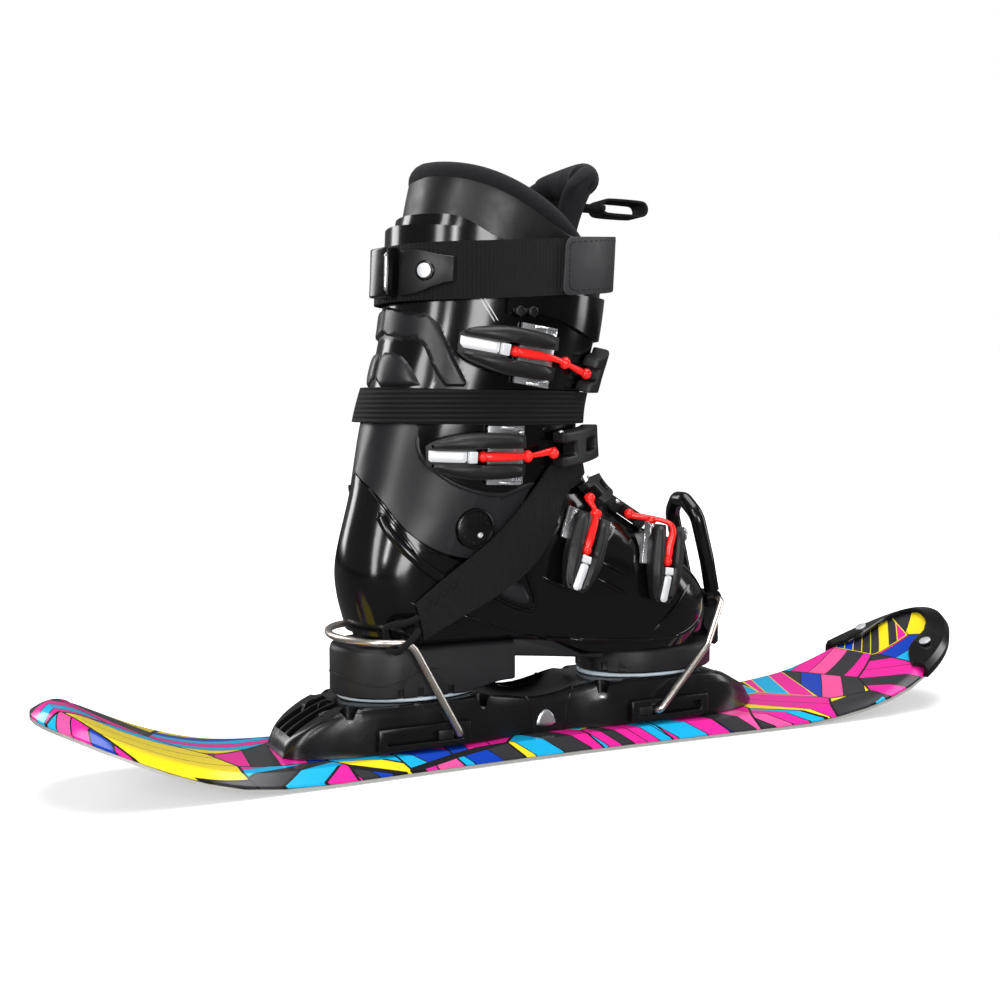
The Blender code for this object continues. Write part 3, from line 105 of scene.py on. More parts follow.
# %% [markdown]
# ## Helpers for materials
# Colours are written as the hex values that a screen shows and turned to linear light once. A
# material is a shader with a few nodes in front of it, so one function starts a material and one
# adds a node. An input given a socket is linked, one given a node takes its first output, and any
# other value is simply set. Sockets that share their name with others are given by their number.

# %% Material helpers
def linear(hex_text):
    """A screen colour such as F4569E as linear red, green, blue and alpha."""
    values = [int(hex_text[i:i + 2], 16) / 255 for i in (0, 2, 4)]
    return tuple(v / 12.92 if v <= 0.04045 else ((v + 0.055) / 1.055) ** 2.4 for v in values) + (1.0,)


def add(tree, kind, inputs=(), **settings):
    """Adds a node: inputs maps an input's name or number to a value, a socket or a node."""
    made = tree.nodes.new(kind)
    for name, value in settings.items():
        setattr(made, name, value)
    for key, value in dict(inputs).items():
        if isinstance(value, bpy.types.Node):
            value = value.outputs[0]
        if isinstance(value, bpy.types.NodeSocket):
            tree.links.new(value, made.inputs[key])
        else:
            made.inputs[key].default_value = value
    return made


def new_material(name, hex_text, roughness, **values):
    """A Principled material. Other values are set on the shader's sockets by their names."""
    made = bpy.data.materials.new(name)
    made.use_nodes = True
    shader = made.node_tree.nodes["Principled BSDF"]
    shader.inputs["Base Color"].default_value = linear(hex_text)
    shader.inputs["Roughness"].default_value = roughness
    for key, value in values.items():
        shader.inputs[key.replace("_", " ")].default_value = value
    return made, made.node_tree, shader


def object_coordinates(tree, scale=(1, 1, 1), turn=(0, 0, 0)):
    """The piece's own metres, stretched or turned for a pattern."""
    where = add(tree, "ShaderNodeTexCoord")
    return add(tree, "ShaderNodeMapping", {"Vector": where.outputs["Object"], "Scale": scale,
                                           "Rotation": turn}).outputs["Vector"]


def bump(tree, shader, height, depth_mm, strength=1.0, under=None):
    """Turns a grey pattern into relief of a real depth in millimetres."""
    inputs = {"Height": height, "Distance": depth_mm * MM, "Strength": strength}
    if under is not None:
        inputs["Normal"] = under
    relief = add(tree, "ShaderNodeBump", inputs)
    tree.links.new(relief.outputs["Normal"], shader.inputs["Normal"])
    return relief.outputs["Normal"]


def per_mm(size):
    """Noise scale for features of this many millimetres."""
    return 1 / (size * MM)


def vary(tree, shader, socket, low, high, size_mm, scale=(1, 1, 1), detail=3.0):
    """Lets a number on the shader wander between two values in patches of a real size."""
    noise = add(tree, "ShaderNodeTexNoise", {"Vector": object_coordinates(tree, scale),
                                             "Scale": per_mm(size_mm), "Detail": detail})
    wander = add(tree, "ShaderNodeMapRange", {"Value": noise.outputs["Fac"], 1: 0.3, 2: 0.7,
                                              3: low, 4: high})
    tree.links.new(wander.outputs["Result"], shader.inputs[socket])
    return noise.outputs["Fac"]


print("a grain of 1 mm is a noise scale of", per_mm(1.0))

# %% [markdown]
# ## Moulded plastics
# Nearly everything black here is injection moulded. What tells the parts apart is the tool's
# surface: the shell's steel mould was polished, so it shines like lacquer with a faint waviness that
# moulders call orange peel. The cuff's mould was spark eroded, which leaves a satin grain. The
# binding and the buckle levers are glass-filled nylon with a coarser grain.

# %% Plastics
def moulded(name, hex_text, roughness, grain_mm, depth_mm, wear=0.05):
    """Moulded plastic: IOR 1.5, a grain of a given size and depth, and patchy gloss from handling."""
    made, tree, shader = new_material(name, hex_text, roughness, IOR=1.5)
    grain = add(tree, "ShaderNodeTexNoise", {"Vector": object_coordinates(tree), "Scale": per_mm(grain_mm),
                                             "Detail": 2.0, "Roughness": 0.6})
    vary(tree, shader, "Roughness", roughness - wear, roughness + wear, 18)
    bump(tree, shader, grain.outputs["Fac"], depth_mm)
    return made


gloss_shell = moulded("polished_polyurethane", "0A0A0B", 0.14, 14.0, 0.05, 0.03)
satin_plastic = moulded("satin_polyurethane", "1A1A1D", 0.36, 0.5, 0.015)
grained_nylon = moulded("grained_nylon", "101012", 0.40, 0.7, 0.03, 0.07)
plate_nylon = moulded("binding_nylon", "0D0D0F", 0.24, 0.8, 0.02, 0.05)
sole_plastic = moulded("boot_sole_polyurethane", "17171A", 0.50, 1.1, 0.05, 0.08)
lever_nylon = moulded("grey_lever_nylon", "151517", 0.44, 0.6, 0.03, 0.06)
red_rod = moulded("red_lacquered_rod", "F0201C", 0.22, 2.0, 0.02, 0.04)
pale_acetal = moulded("pale_acetal", "CBD9E3", 0.34, 1.2, 0.03, 0.06)
loop_nylon = moulded("polished_nylon", "0A0A0B", 0.18, 5.0, 0.03, 0.05)
white_paint = moulded("white_pad_print", "E8E8EA", 0.40, 1.0, 0.01, 0.05)
print("plastics:", gloss_shell.name, satin_plastic.name, grained_nylon.name)

# %% [markdown]
# The cuff shows both surfaces in one moulding. An attribute on its mesh, from 0 for satin to 1 for
# polished, mixes the two, so the border between them can follow the raised frame's edge.

# %% Two-surface cuff
cuff_plastic, cuff_tree, cuff_shader = new_material("cuff_polyurethane", "1A1A1D", 0.36, IOR=1.5)
polish = add(cuff_tree, "ShaderNodeAttribute", attribute_name="polish").outputs["Fac"]
cuff_grain = add(cuff_tree, "ShaderNodeTexNoise", {"Vector": object_coordinates(cuff_tree),
                                                   "Scale": per_mm(0.5)})
cuff_tone = add(cuff_tree, "ShaderNodeMix", {"Factor": polish, 6: linear("1C1C1F"), 7: linear("060607")},
                data_type="RGBA")
cuff_gloss = add(cuff_tree, "ShaderNodeMapRange", {"Value": polish, 3: 0.35, 4: 0.15})
cuff_tree.links.new(cuff_tone.outputs[2], cuff_shader.inputs["Base Color"])
cuff_tree.links.new(cuff_gloss.outputs["Result"], cuff_shader.inputs["Roughness"])
grain_depth = add(cuff_tree, "ShaderNodeMapRange", {"Value": polish, 3: 1.0, 4: 0.1})
cuff_relief = add(cuff_tree, "ShaderNodeMath", {0: cuff_grain.outputs["Fac"], 1: grain_depth},
                  operation="MULTIPLY")
bump(cuff_tree, cuff_shader, cuff_relief.outputs[0], 0.015)
print("two-surface plastic:", cuff_plastic.name)

# %% [markdown]
# ## Metals
# Drawn wire is smooth, with a gloss that wanders in broad patches, and brushed plate has fine lines.
# Ground edges, zinc plate and bright nickel carry a thin dull film or a lacquer. A shader that is
# only partly metallic gives that: it stays light where it mirrors the dark surround. Metals keep
# the default IOR, and their colour is the tint of their reflection.

# %% Metals
def metal(name, hex_text, roughness, streak, wear=0.08, size_mm=0.7, depth_mm=0.004):
    """Bare metal with streaks: streak stretches the pattern along an axis, as grinding does."""
    made, tree, shader = new_material(name, hex_text, roughness, Metallic=1.0)
    lines = vary(tree, shader, "Roughness", max(roughness - wear, 0.03), roughness + wear, size_mm,
                 streak, 4.0)
    if depth_mm > 0:
        bump(tree, shader, lines, depth_mm)
    return made


wire_steel = metal("drawn_stainless_wire", "E6DED6", 0.30, (1, 1, 1), 0.03, 6.0, 0.0)
edge_steel = new_material("ground_edge_steel", "D6D4D0", 0.42, Metallic=0.6)[0]
bright_plate = new_material("bright_nickel_plate", "DCDDE0", 0.24, Metallic=0.85)[0]
brushed_plate = metal("brushed_aluminium", "E2E3E6", 0.36, (1, 1, 0.05), 0.06, 0.35)
label_plate = new_material("lacquered_label_plate", "E4E5E8", 0.45, Metallic=0.35)[0]
screw_steel = new_material("zinc_plated_screw", "DADCDF", 0.40, Metallic=0.5)[0]
print("metals:", wire_steel.name, edge_steel.name, bright_plate.name)

# %% [markdown]
# ## Cloth and leather
# The liner has two skins: a smooth coated fabric on the shaft, and a short plush pile on the rolled
# collar and the tongue. Fibres that stand up catch light at the rim, which is what the sheen layer
# is for, and the pile's colour holds painted shade where its relief is low. Real hairs would give the
# same look for far more faces. Webbing is a plain weave, so its relief is a fine checker that follows
# the strap's own UV map, and its colour holds painted shade where the threads dip under.

# %% Cloths
def pile(name, hex_text, pile_mm, depth_mm, sheen, tint="8A8A92"):
    """Short standing fibres: rough, with sheen at the rim, a soft lumpy relief and painted shade that
    darkens the colour where the fibre relief is low.
    """
    made, tree, shader = new_material(name, hex_text, 0.92, Sheen_Weight=sheen, Sheen_Roughness=0.45,
                                      IOR=1.4)
    shader.inputs["Sheen Tint"].default_value = linear(tint)
    where = object_coordinates(tree)
    fibres = add(tree, "ShaderNodeTexNoise", {"Vector": where, "Scale": per_mm(pile_mm), "Detail": 5.0})
    lumps = add(tree, "ShaderNodeTexNoise", {"Vector": where, "Scale": per_mm(7.0), "Detail": 2.0})
    both = add(tree, "ShaderNodeMath", {0: fibres.outputs["Fac"], 1: lumps.outputs["Fac"]}, operation="ADD")
    # Painted shade: the colour darkens where the fibre noise, which also raises the relief, is low.
    tone = add(tree, "ShaderNodeMix", {"Factor": fibres.outputs["Fac"], 6: linear("08080A"),
                                       7: linear(hex_text)}, data_type="RGBA")
    tree.links.new(tone.outputs[2], shader.inputs["Base Color"])
    bump(tree, shader, both.outputs["Value"], depth_mm)
    return made


def leather(name, hex_text, roughness, pebble_mm, depth_mm):
    """Coated fabric or leather: small rounded pebbles between creases."""
    made, tree, shader = new_material(name, hex_text, roughness, IOR=1.48)
    pebbles = add(tree, "ShaderNodeTexVoronoi", {"Vector": object_coordinates(tree),
                                                 "Scale": per_mm(pebble_mm)}, feature="SMOOTH_F1")
    vary(tree, shader, "Roughness", roughness - 0.07, roughness + 0.07, 12)
    bump(tree, shader, pebbles.outputs["Distance"], depth_mm, 0.6)
    return made


def woven(name, hex_text, thread_mm, depth_mm, rib_mm, rib_depth, rib_axis=0):
    """Webbing: threads over and under on the strap's own UV map, in metres, ribs on one axis, and painted
    shade in the colour where threads dip under.
    """
    made, tree, shader = new_material(name, hex_text, 0.78, Sheen_Weight=0.02, Sheen_Roughness=0.5, IOR=1.4)
    where = add(tree, "ShaderNodeUVMap", uv_map="cloth").outputs["UV"]
    apart = add(tree, "ShaderNodeSeparateXYZ", {0: where})
    waves = []
    for axis, size_mm in ((0, thread_mm), (1, thread_mm), (rib_axis, rib_mm)):
        turn = add(tree, "ShaderNodeMath", {0: apart.outputs[axis], 1: math.tau / (size_mm * MM)},
                   operation="MULTIPLY")
        waves.append(add(tree, "ShaderNodeMath", {0: turn}, operation="SINE").outputs[0])
    weave = add(tree, "ShaderNodeMath", {0: waves[0], 1: waves[1]}, operation="MULTIPLY").outputs[0]
    fuzz = add(tree, "ShaderNodeTexNoise", {"Vector": object_coordinates(tree), "Scale": per_mm(0.5),
                                            "Detail": 3.0})
    height = add(tree, "ShaderNodeMath", {0: weave, 1: fuzz.outputs["Fac"]}, operation="ADD").outputs[0]
    relief = bump(tree, shader, height, depth_mm)
    bump(tree, shader, waves[2], rib_depth, 1.0, relief)
    # Painted shade: the colour darkens where the weave dips and lightens where the threads rise.
    tone = add(tree, "ShaderNodeMapRange", {"Value": weave, 1: -1.0, 2: 1.0, 3: 0.55, 4: 1.15})
    weave_painted_shade = add(tree, "ShaderNodeMix", {"Factor": tone, 6: linear("060607"), 7: linear(hex_text)},
               data_type="RGBA")
    tree.links.new(weave_painted_shade.outputs[2], shader.inputs["Base Color"])
    return made


collar_plush = pile("collar_plush", "17181B", 0.7, 0.5, 0.16)
tongue_plush = pile("tongue_plush", "15161A", 0.8, 0.5, 0.16)
coated_liner = leather("coated_liner_fabric", "161618", 0.40, 0.9, 0.05)
patch_leather = leather("patch_leather", "2B2B2E", 0.55, 0.8, 0.06)
strap_webbing = woven("power_strap_webbing", "09090A", 0.9, 0.05, 2.0, 0.30)
band_webbing = woven("leash_band_webbing", "070708", 0.9, 0.05, 2.9, 0.45, 1)
leash_webbing = woven("leash_webbing", "0C0C0D", 1.3, 0.20, 2.4, 0.22)
cord_braid = pile("braided_cord", "0E0E10", 1.2, 0.35, 0.05)
black_thread = pile("black_thread", "050506", 0.4, 0.1, 0.02)
print("cloths:", collar_plush.name, coated_liner.name, strap_webbing.name)

# %% [markdown]
# ## The board's printed cap
# The real cap is a clear polyamide foil printed from behind, so the colours lie under gloss. The
# print is a field of sharp-edged shards, each cut into straight bands of pink, cyan, yellow, blue
# and charcoal with thin black lines between them. A Voronoi pattern gives the shards: each cell has
# three random numbers. The first turns the direction of its bands, the second picks their width and
# the third shifts them. A white noise over the band's number picks the ink. The pattern is slanted
# a little with height, so that the board's side wall shows leaning blocks instead of upright ones.
# An image would do as well, but numbers stay sharp at any distance.

# %% Printed cap
INKS = ((0.0, "F0249C"), (0.29, "14B1E7"), (0.50, "333236"), (0.66, "FBE122"), (0.79, "F4569E"),
        (0.90, "0A3FB5"))
SHARDS_PER_METRE = 19.0
WIDE_BANDS_PER_METRE = 62.0
EXTRA_NARROW_BANDS = 65.0
NARROW_FROM = 0.72
BRIGHT_LINES_FROM = 0.82
LINE_MM = 0.8
SLANT = 0.9
SHARD_TURN = 0.5
SHARD_STRETCH = (1.0, 0.8, 1.0)
MOST_BANDS_SHIFTED = 9.0
INK_DRAWS = 90.0
printed_cap, cap_tree, cap_shader = new_material("printed_cap_foil", "F0369A", 0.18, IOR=1.5)
place = add(cap_tree, "ShaderNodeSeparateXYZ", {0: object_coordinates(cap_tree)})
slanted_x = add(cap_tree, "ShaderNodeMath", {0: place.outputs["Z"], 1: SLANT, 2: place.outputs["X"]},
                operation="MULTIPLY_ADD")
flat_place = add(cap_tree, "ShaderNodeCombineXYZ", {0: slanted_x, 1: place.outputs["Y"]})
turned_place = add(cap_tree, "ShaderNodeMapping", {"Vector": flat_place, "Scale": SHARD_STRETCH,
                                                   "Rotation": (0, 0, SHARD_TURN)})
shared = {"Vector": turned_place, "Scale": SHARDS_PER_METRE, "Randomness": 1.0}
cells = add(cap_tree, "ShaderNodeTexVoronoi", shared, voronoi_dimensions="2D")
borders = add(cap_tree, "ShaderNodeTexVoronoi", shared, voronoi_dimensions="2D", feature="DISTANCE_TO_EDGE")
chances = add(cap_tree, "ShaderNodeSeparateColor", {0: cells.outputs["Color"]})
print("shards of about", round(1000 / SHARDS_PER_METRE), "mm")

# %% [markdown]
# The bands are straight lines across a shard: the place along the shard's own direction, times the
# bands per metre, counts them. The whole part of that count is the band's number and the rest says
# how far into the band a point lies, which is all that a thin line at its start needs.

# %% Bands and lines
direction = add(cap_tree, "ShaderNodeMath", {0: chances.outputs[0], 1: math.tau}, operation="MULTIPLY")
cosine = add(cap_tree, "ShaderNodeMath", {0: direction}, operation="COSINE")
sine = add(cap_tree, "ShaderNodeMath", {0: direction}, operation="SINE")
along_x = add(cap_tree, "ShaderNodeMath", {0: slanted_x, 1: cosine}, operation="MULTIPLY")
along_y = add(cap_tree, "ShaderNodeMath", {0: place.outputs["Y"], 1: sine}, operation="MULTIPLY")
along = add(cap_tree, "ShaderNodeMath", {0: along_x, 1: along_y}, operation="ADD")
narrow = add(cap_tree, "ShaderNodeMath", {0: chances.outputs[1], 1: NARROW_FROM}, operation="GREATER_THAN")
per_metre = add(cap_tree, "ShaderNodeMath", {0: narrow, 1: EXTRA_NARROW_BANDS, 2: WIDE_BANDS_PER_METRE},
                operation="MULTIPLY_ADD")
shift = add(cap_tree, "ShaderNodeMath", {0: chances.outputs[2], 1: MOST_BANDS_SHIFTED}, operation="MULTIPLY")
band = add(cap_tree, "ShaderNodeMath", {0: along, 1: per_metre, 2: shift}, operation="MULTIPLY_ADD")
band_number = add(cap_tree, "ShaderNodeMath", {0: band}, operation="FLOOR")
band_share = add(cap_tree, "ShaderNodeMath", {0: band}, operation="FRACT")
shard_number = add(cap_tree, "ShaderNodeMath", {0: chances.outputs[0], 1: INK_DRAWS}, operation="MULTIPLY")
pick = add(cap_tree, "ShaderNodeCombineXYZ", {0: band_number, 1: shard_number})
chance = add(cap_tree, "ShaderNodeTexWhiteNoise", {"Vector": pick}, noise_dimensions="3D")
print("wide bands of", round(1000 / WIDE_BANDS_PER_METRE, 1), "mm")

# %% Inks and thin lines
ink = add(cap_tree, "ShaderNodeValToRGB", {0: chance.outputs["Value"]})
ink.color_ramp.interpolation = "CONSTANT"
for i, (ink_start, hex_text) in enumerate(INKS):
    colour = ink.color_ramp.elements[i] if i < 2 else ink.color_ramp.elements.new(ink_start)
    colour.position = ink_start
    colour.color = linear(hex_text)
line_share = add(cap_tree, "ShaderNodeMath", {0: per_metre, 1: LINE_MM * MM}, operation="MULTIPLY")
band_line = add(cap_tree, "ShaderNodeMath", {0: band_share, 1: line_share}, operation="LESS_THAN")
cell_line = add(cap_tree, "ShaderNodeMath", {0: borders.outputs["Distance"],
                                             1: SHARDS_PER_METRE * LINE_MM * MM}, operation="LESS_THAN")
any_line = add(cap_tree, "ShaderNodeMath", {0: band_line, 1: cell_line}, operation="MAXIMUM")
bright_lines = add(cap_tree, "ShaderNodeMath", {0: chances.outputs[0], 1: BRIGHT_LINES_FROM},
                   operation="GREATER_THAN")
line_ink = add(cap_tree, "ShaderNodeMix", {"Factor": bright_lines, 6: linear("1B1A1E"), 7: linear("EAD52C")},
               data_type="RGBA")
print_colour = add(cap_tree, "ShaderNodeMix", {"Factor": any_line, 6: ink.outputs["Color"],
                                               7: line_ink.outputs[2]}, data_type="RGBA")
cap_tree.links.new(print_colour.outputs[2], cap_shader.inputs["Base Color"])
peel = add(cap_tree, "ShaderNodeTexNoise", {"Vector": object_coordinates(cap_tree), "Scale": per_mm(16)})
bump(cap_tree, cap_shader, peel.outputs["Fac"], 0.04)

running_base, base_tree, base_shader = new_material("sintered_running_base", "141416", 0.38, IOR=1.5)
vary(base_tree, base_shader, "Roughness", 0.30, 0.50, 1.0, (0.05, 1, 1))
print("print:", len(INKS), "inks on", SHARDS_PER_METRE, "shards per metre")

# %% [markdown]
# ## From faceted solids to smooth pieces
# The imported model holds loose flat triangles, which a glossy finish would show. Their shape is
# right, so each piece starts as a copy of its node: the doubles are merged, triangles pair up to
# quads again, edges sharper than an angle are creased, and a Subdivision Surface modifier rounds
# the rest. The copy stands for the node and rides on the same body.

# %% Smooth copies
SHARP = 36.0
MERGE_MM = 0.01
SLIVER_MM = 0.005
FLAT_PAIR = math.radians(30)


def clean_copy(name, sharp=SHARP, crease=1.0, skew=70.0):
    """A merged copy of a node in a bmesh, sharp edges creased. Skew is how lopsided a quad may be."""
    work = bmesh.new()
    work.from_mesh(nodes[name].data)
    bmesh.ops.remove_doubles(work, verts=work.verts, dist=MERGE_MM * MM)
    bmesh.ops.dissolve_degenerate(work, edges=work.edges, dist=SLIVER_MM * MM)
    bmesh.ops.join_triangles(work, faces=work.faces, angle_face_threshold=FLAT_PAIR,
                             angle_shape_threshold=math.radians(skew))
    layer = work.edges.layers.float.get("crease_edge") or work.edges.layers.float.new("crease_edge")
    limit = math.radians(sharp)
    for edge in work.edges:
        if len(edge.link_faces) == 2 and edge.calc_face_angle(0.0) > limit:
            edge[layer] = crease
    return work


def as_object(name, work, material):
    """A bmesh as an object with smooth faces and one material."""
    mesh = bpy.data.meshes.new(name)
    for face in work.faces:
        face.smooth = True
    work.to_mesh(mesh)
    work.free()
    if "custom_normal" in mesh.attributes:
        mesh.attributes.remove(mesh.attributes["custom_normal"])
    mesh.materials.clear()
    mesh.materials.append(material)
    made = bpy.data.objects.new(name, mesh)
    bpy.context.scene.collection.objects.link(made)
    return made


def plain(piece):
    """Turns a piece's modifiers into plain mesh."""
    graph = bpy.context.evaluated_depsgraph_get()
    mesh = bpy.data.meshes.new_from_object(piece.evaluated_get(graph), depsgraph=graph)
    piece.modifiers.clear()
    piece.data = mesh
    return piece


def shade(piece, angle=34.0):
    """Smooth faces, with edges past the angle kept crisp."""
    piece.data.shade_smooth()
    piece.data.set_sharp_from_angle(angle=math.radians(angle))
    return piece


def round_off(piece, levels):
    """Subdivides a piece along its creases."""
    soft = piece.modifiers.new("round", "SUBSURF")
    soft.levels = levels
    soft.render_levels = levels
    return plain(piece)


def dress(name, material, levels=2, sharp=SHARP, crease=1.0, edge=40.0, rides=True, skew=70.0):
    """A smooth piece that stands for a node and, unless it will bend, rides where the node does."""
    made = as_object(name + "_finished", clean_copy(name, sharp, crease, skew), material)
    round_off(made, levels)
    shade(made, edge)
    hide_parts(name)
    if rides:
        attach(made, nodes[name]["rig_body"])
    return made


def finish_node(name, material):
    """Keeps a node and gives it a better material."""
    for slot in nodes[name].material_slots:
        slot.material = material


finish_node("base_sheet", running_base)
for name in ("steel_edge_near", "steel_edge_far"):
    finish_node(name, edge_steel)
for name in ("heel_pad", "toe_pad"):
    finish_node(name, pale_acetal)
dress("deck", printed_cap, 2, 24.0, edge=30.0)
print("board nodes finished")

# %% [markdown]
# ## Soft edges on moulded parts
# A moulded edge is never razor sharp. A small bevel catches a line of light, and that line is what
# makes a black part readable. For parts with flat faces and hard edges a Bevel modifier on the
# merged copy does it, and its width is the mould's real edge radius.

# %% Bevelled copies
def bevelled(name, material, width_mm, segments=2, angle=32.0, work=None):
    """A copy of a node, or a reworked copy of it, with its sharp edges rounded by a small radius."""
    made = as_object(name + "_finished", work or clean_copy(name), material)
    soft = made.modifiers.new("edge", "BEVEL")
    soft.width = width_mm * MM
    soft.segments = segments
    soft.limit_method = "ANGLE"
    soft.angle_limit = math.radians(angle)
    plain(made)
    shade(made, 50.0)
    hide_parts(name)
    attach(made, nodes[name]["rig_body"])
    return made


plate = dress("base_plate", plate_nylon, 1, 30.0)
for name in ("heel_slot_near", "heel_slot_far", "toe_slot_near", "toe_slot_far"):
    bevelled(name, plate_nylon, 0.6)
for name in ("heel_block_near", "heel_block_far", "toe_block_near", "toe_block_far"):
    bevelled(name, grained_nylon, 0.4)
heel_sole = bevelled("sole_heel", sole_plastic, 1.0)
bevelled("sole_toe", sole_plastic, 1.0)
bevelled("sole_arch", sole_plastic, 0.8)
dress("tip_guard", loop_nylon, 1)
for name in ("heel_bail", "toe_bail"):
    dress(name, wire_steel, 2, 80.0, edge=80.0, skew=175.0)
dress("toe_clip", grained_nylon, 1)
dress("toe_lever", loop_nylon, 2, 70.0, edge=60.0)
print("binding pieces finished")

# %% The boot's shell pieces
shell = dress("lower_shell", gloss_shell, 2)
cuff = dress("cuff", cuff_plastic, 3)
dress("rear_spoiler", gloss_shell, 2)
shin_flap = dress("shin_flap", gloss_shell, 2)
dress("instep_flap", gloss_shell, 2)
dials = {side: bevelled("ankle_rivet_" + side, loop_nylon, 0.8) for side in ("near", "far")}


def between(table, where):
    """Straight-line value between the rows of a table."""
    return float(np.interp(where, [row[0] for row in table], [row[1] for row in table]))


FRAME_EDGE = ((221, -58), (236, -58), (252, -66), (270, -73), (276, -80), (283, -112))
PANEL_EDGE = ((-86, 191), (-64.7, 173), (-35, 166), (-21, 171), (-5, 175), (40, 182))
WINDOW_FRONT = -76
WINDOW_TOP = 262


def is_polished(x, z):
    """Whether the cuff's mould was polished at a place seen from the side, in millimetres."""
    if z < FRAME_EDGE[0][0]:
        return x > PANEL_EDGE[0][0] and z > between(PANEL_EDGE, x)
    in_window = x < WINDOW_FRONT and z < WINDOW_TOP
    return in_window or x > between(FRAME_EDGE, z)


finish = cuff.data.attributes.new("polish", "FLOAT", "POINT")
for i, vertex in enumerate(cuff.data.vertices):
    finish.data[i].value = float(is_polished(vertex.co.x / MM, vertex.co.z / MM))
print("shell pieces finished, cuff vertices:", len(cuff.data.vertices))

# %% [markdown]
# ## Drawing on a surface
# Raised frames, ridges and labels follow the surface that carries them. They are drawn flat, in
# millimetres, and a ray from outside finds the skin under each point. A look says how flat
# millimetres become rays: straight from the side, straight down, or round an upright axis.

# %% Rays that find the skin
RAY_START = 0.15


def search_tree(piece):
    """A search tree over the faces of a piece."""
    return BVHTree.FromPolygons([v.co.copy() for v in piece.data.vertices],
                                [list(face.vertices) for face in piece.data.polygons])


def flat_look(origin, across, up, inward):
    """Rays along one direction. (a, b) counts from the origin along two axes."""
    origin, across, up, inward = (Vector(v) for v in (origin, across, up, inward))
    return lambda a, b: (origin + (across * a + up * b) * MM - inward * RAY_START, inward)


ROLL_RADIUS = 45.0


def round_look(middle_x, side):
    """Rays to an upright axis. a runs from the rear round the near (-1) or far (1) side, b upwards."""
    def ray(a, b):
        angle = a / ROLL_RADIUS
        outward = Vector((-math.cos(angle), side * math.sin(angle), 0))
        return Vector((middle_x * MM, 0, b * MM)) + outward * RAY_START, -outward
    return ray


def unrolled(middle_x, *places):
    """Flat coordinates for a round look of places in millimetres on the near side."""
    return [(math.atan2(-y, middle_x - x) * ROLL_RADIUS, z) for x, y, z in places]


def on_skin(tree, look, a, b):
    """The outermost point of the skin under a flat place, and the direction out of it."""
    start, inward = look(a, b)
    hit, normal, _, _ = tree.ray_cast(start, inward)
    if hit is None:
        hit, normal, _, _ = tree.find_nearest(start + inward * RAY_START)
    return hit, (normal if normal.dot(inward) < 0 else -normal)


SIDES = (("near", -1), ("far", 1))
sideways = {side: flat_look((0, 0, 0), (1, 0, 0), (0, 0, 1), (0, -side, 0)) for _, side in SIDES}
downward = {side: flat_look((0, 0, 0), (1, 0, 0), (0, -side, 0), (0, 0, -1)) for _, side in SIDES}
print("a place on the shell's near side:", on_skin(search_tree(shell), sideways[-1], 0, 100)[0])

# %% [markdown]
# A ridge is a ribbon with a rounded section, drawn along a line and fading out at both ends. A slab
# is a flat shape that is filled with small triangles first, so that it can bend with the surface,
# and its height grows from zero at the border to full over the width of its rounded edge.

# %% Ridges and slabs
RIDGE_SECTION = ((-0.5, -0.3), (-0.42, 0.55), (-0.2, 1.0), (0.2, 1.0), (0.42, 0.55), (0.5, -0.3))
STEP_MM = 1.4
BORDER_SINK_MM = 0.15
SLAB_ROOT_MM = 0.6
ON_BORDER_MM = 0.01


def soft_line(places, rounding, closed=False):
    """Points at even steps along a line whose corners are cut off a few times."""
    line = [Vector(p) for p in places]
    if closed:
        line.append(line[0])
    for _ in range(rounding):
        cut = [] if closed else [line[0]]
        for here, after in zip(line, line[1:]):
            cut += [here.lerp(after, 0.25), here.lerp(after, 0.75)]
        line = cut + [cut[0] if closed else line[-1]]
    spaced = [line[0]]
    for here, after in zip(line, line[1:]):
        count = max(1, round((after - here).length / STEP_MM))
        spaced += [here.lerp(after, (i + 1) / count) for i in range(count)]
    return spaced[:-1] if closed else spaced


def finished(name, work, material, body, edge=45.0):
    """A bmesh with its faces turned outward as a shaded piece on a body."""
    bmesh.ops.recalc_face_normals(work, faces=work.faces)
    made = shade(as_object(name, work, material), edge)
    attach(made, body)
    return made


def sweep(work, rows, closed=False):
    """Joins rows of a round section into a tube, closed on itself or capped at both ends."""
    rings = [[work.verts.new(place) for place in row] for row in rows]
    for i in range(len(rings) if closed else len(rings) - 1):
        here = rings[i]
        after = rings[(i + 1) % len(rings)]
        for k in range(len(here)):
            following = (k + 1) % len(here)
            work.faces.new((here[k], here[following], after[following], after[k]))
    if not closed:
        work.faces.new(rings[0])
        work.faces.new(rings[-1])


def ridge(name, tree, look, line, width_mm, height_mm, material, body, rounding=2, fade_mm=5.0):
    """A raised line along flat places."""
    spots = [on_skin(tree, look, *place) for place in soft_line(line, rounding)]
    rows = []
    last = len(spots) - 1
    for i, (at, out) in enumerate(spots):
        before = spots[max(i - 1, 0)]
        after = spots[min(i + 1, last)]
        out = (out + before[1] + after[1]).normalized()
        side = (after[0] - before[0]).cross(out).normalized()
        fade = min(1.0, 0.1 + min(i, last - i) * STEP_MM / fade_mm)
        rows.append([at + (side * u * width_mm + out * v * height_mm) * fade * MM for u, v in RIDGE_SECTION])
    work = bmesh.new()
    sweep(work, rows)
    return finished(name, work, material, body)


def is_inside(place, loop):
    """Even-odd test of a flat place against a closed outline."""
    x, y = place
    crossings = 0
    for (x0, y0), (x1, y1) in zip(loop, loop[1:] + loop[:1]):
        if (y0 > y) != (y1 > y) and x < x0 + (y - y0) / (y1 - y0) * (x1 - x0):
            crossings += 1
    return crossings % 2 == 1


def border_gap(place, loop):
    """Distance in the flat from a place to an outline."""
    point = np.array(place)
    start = np.array(loop)
    step = np.roll(start, -1, axis=0) - start
    share = np.clip(((point - start) * step).sum(1) / (step * step).sum(1), 0, 1)
    return np.hypot(*(start + step * share[:, None] - point).T).min()


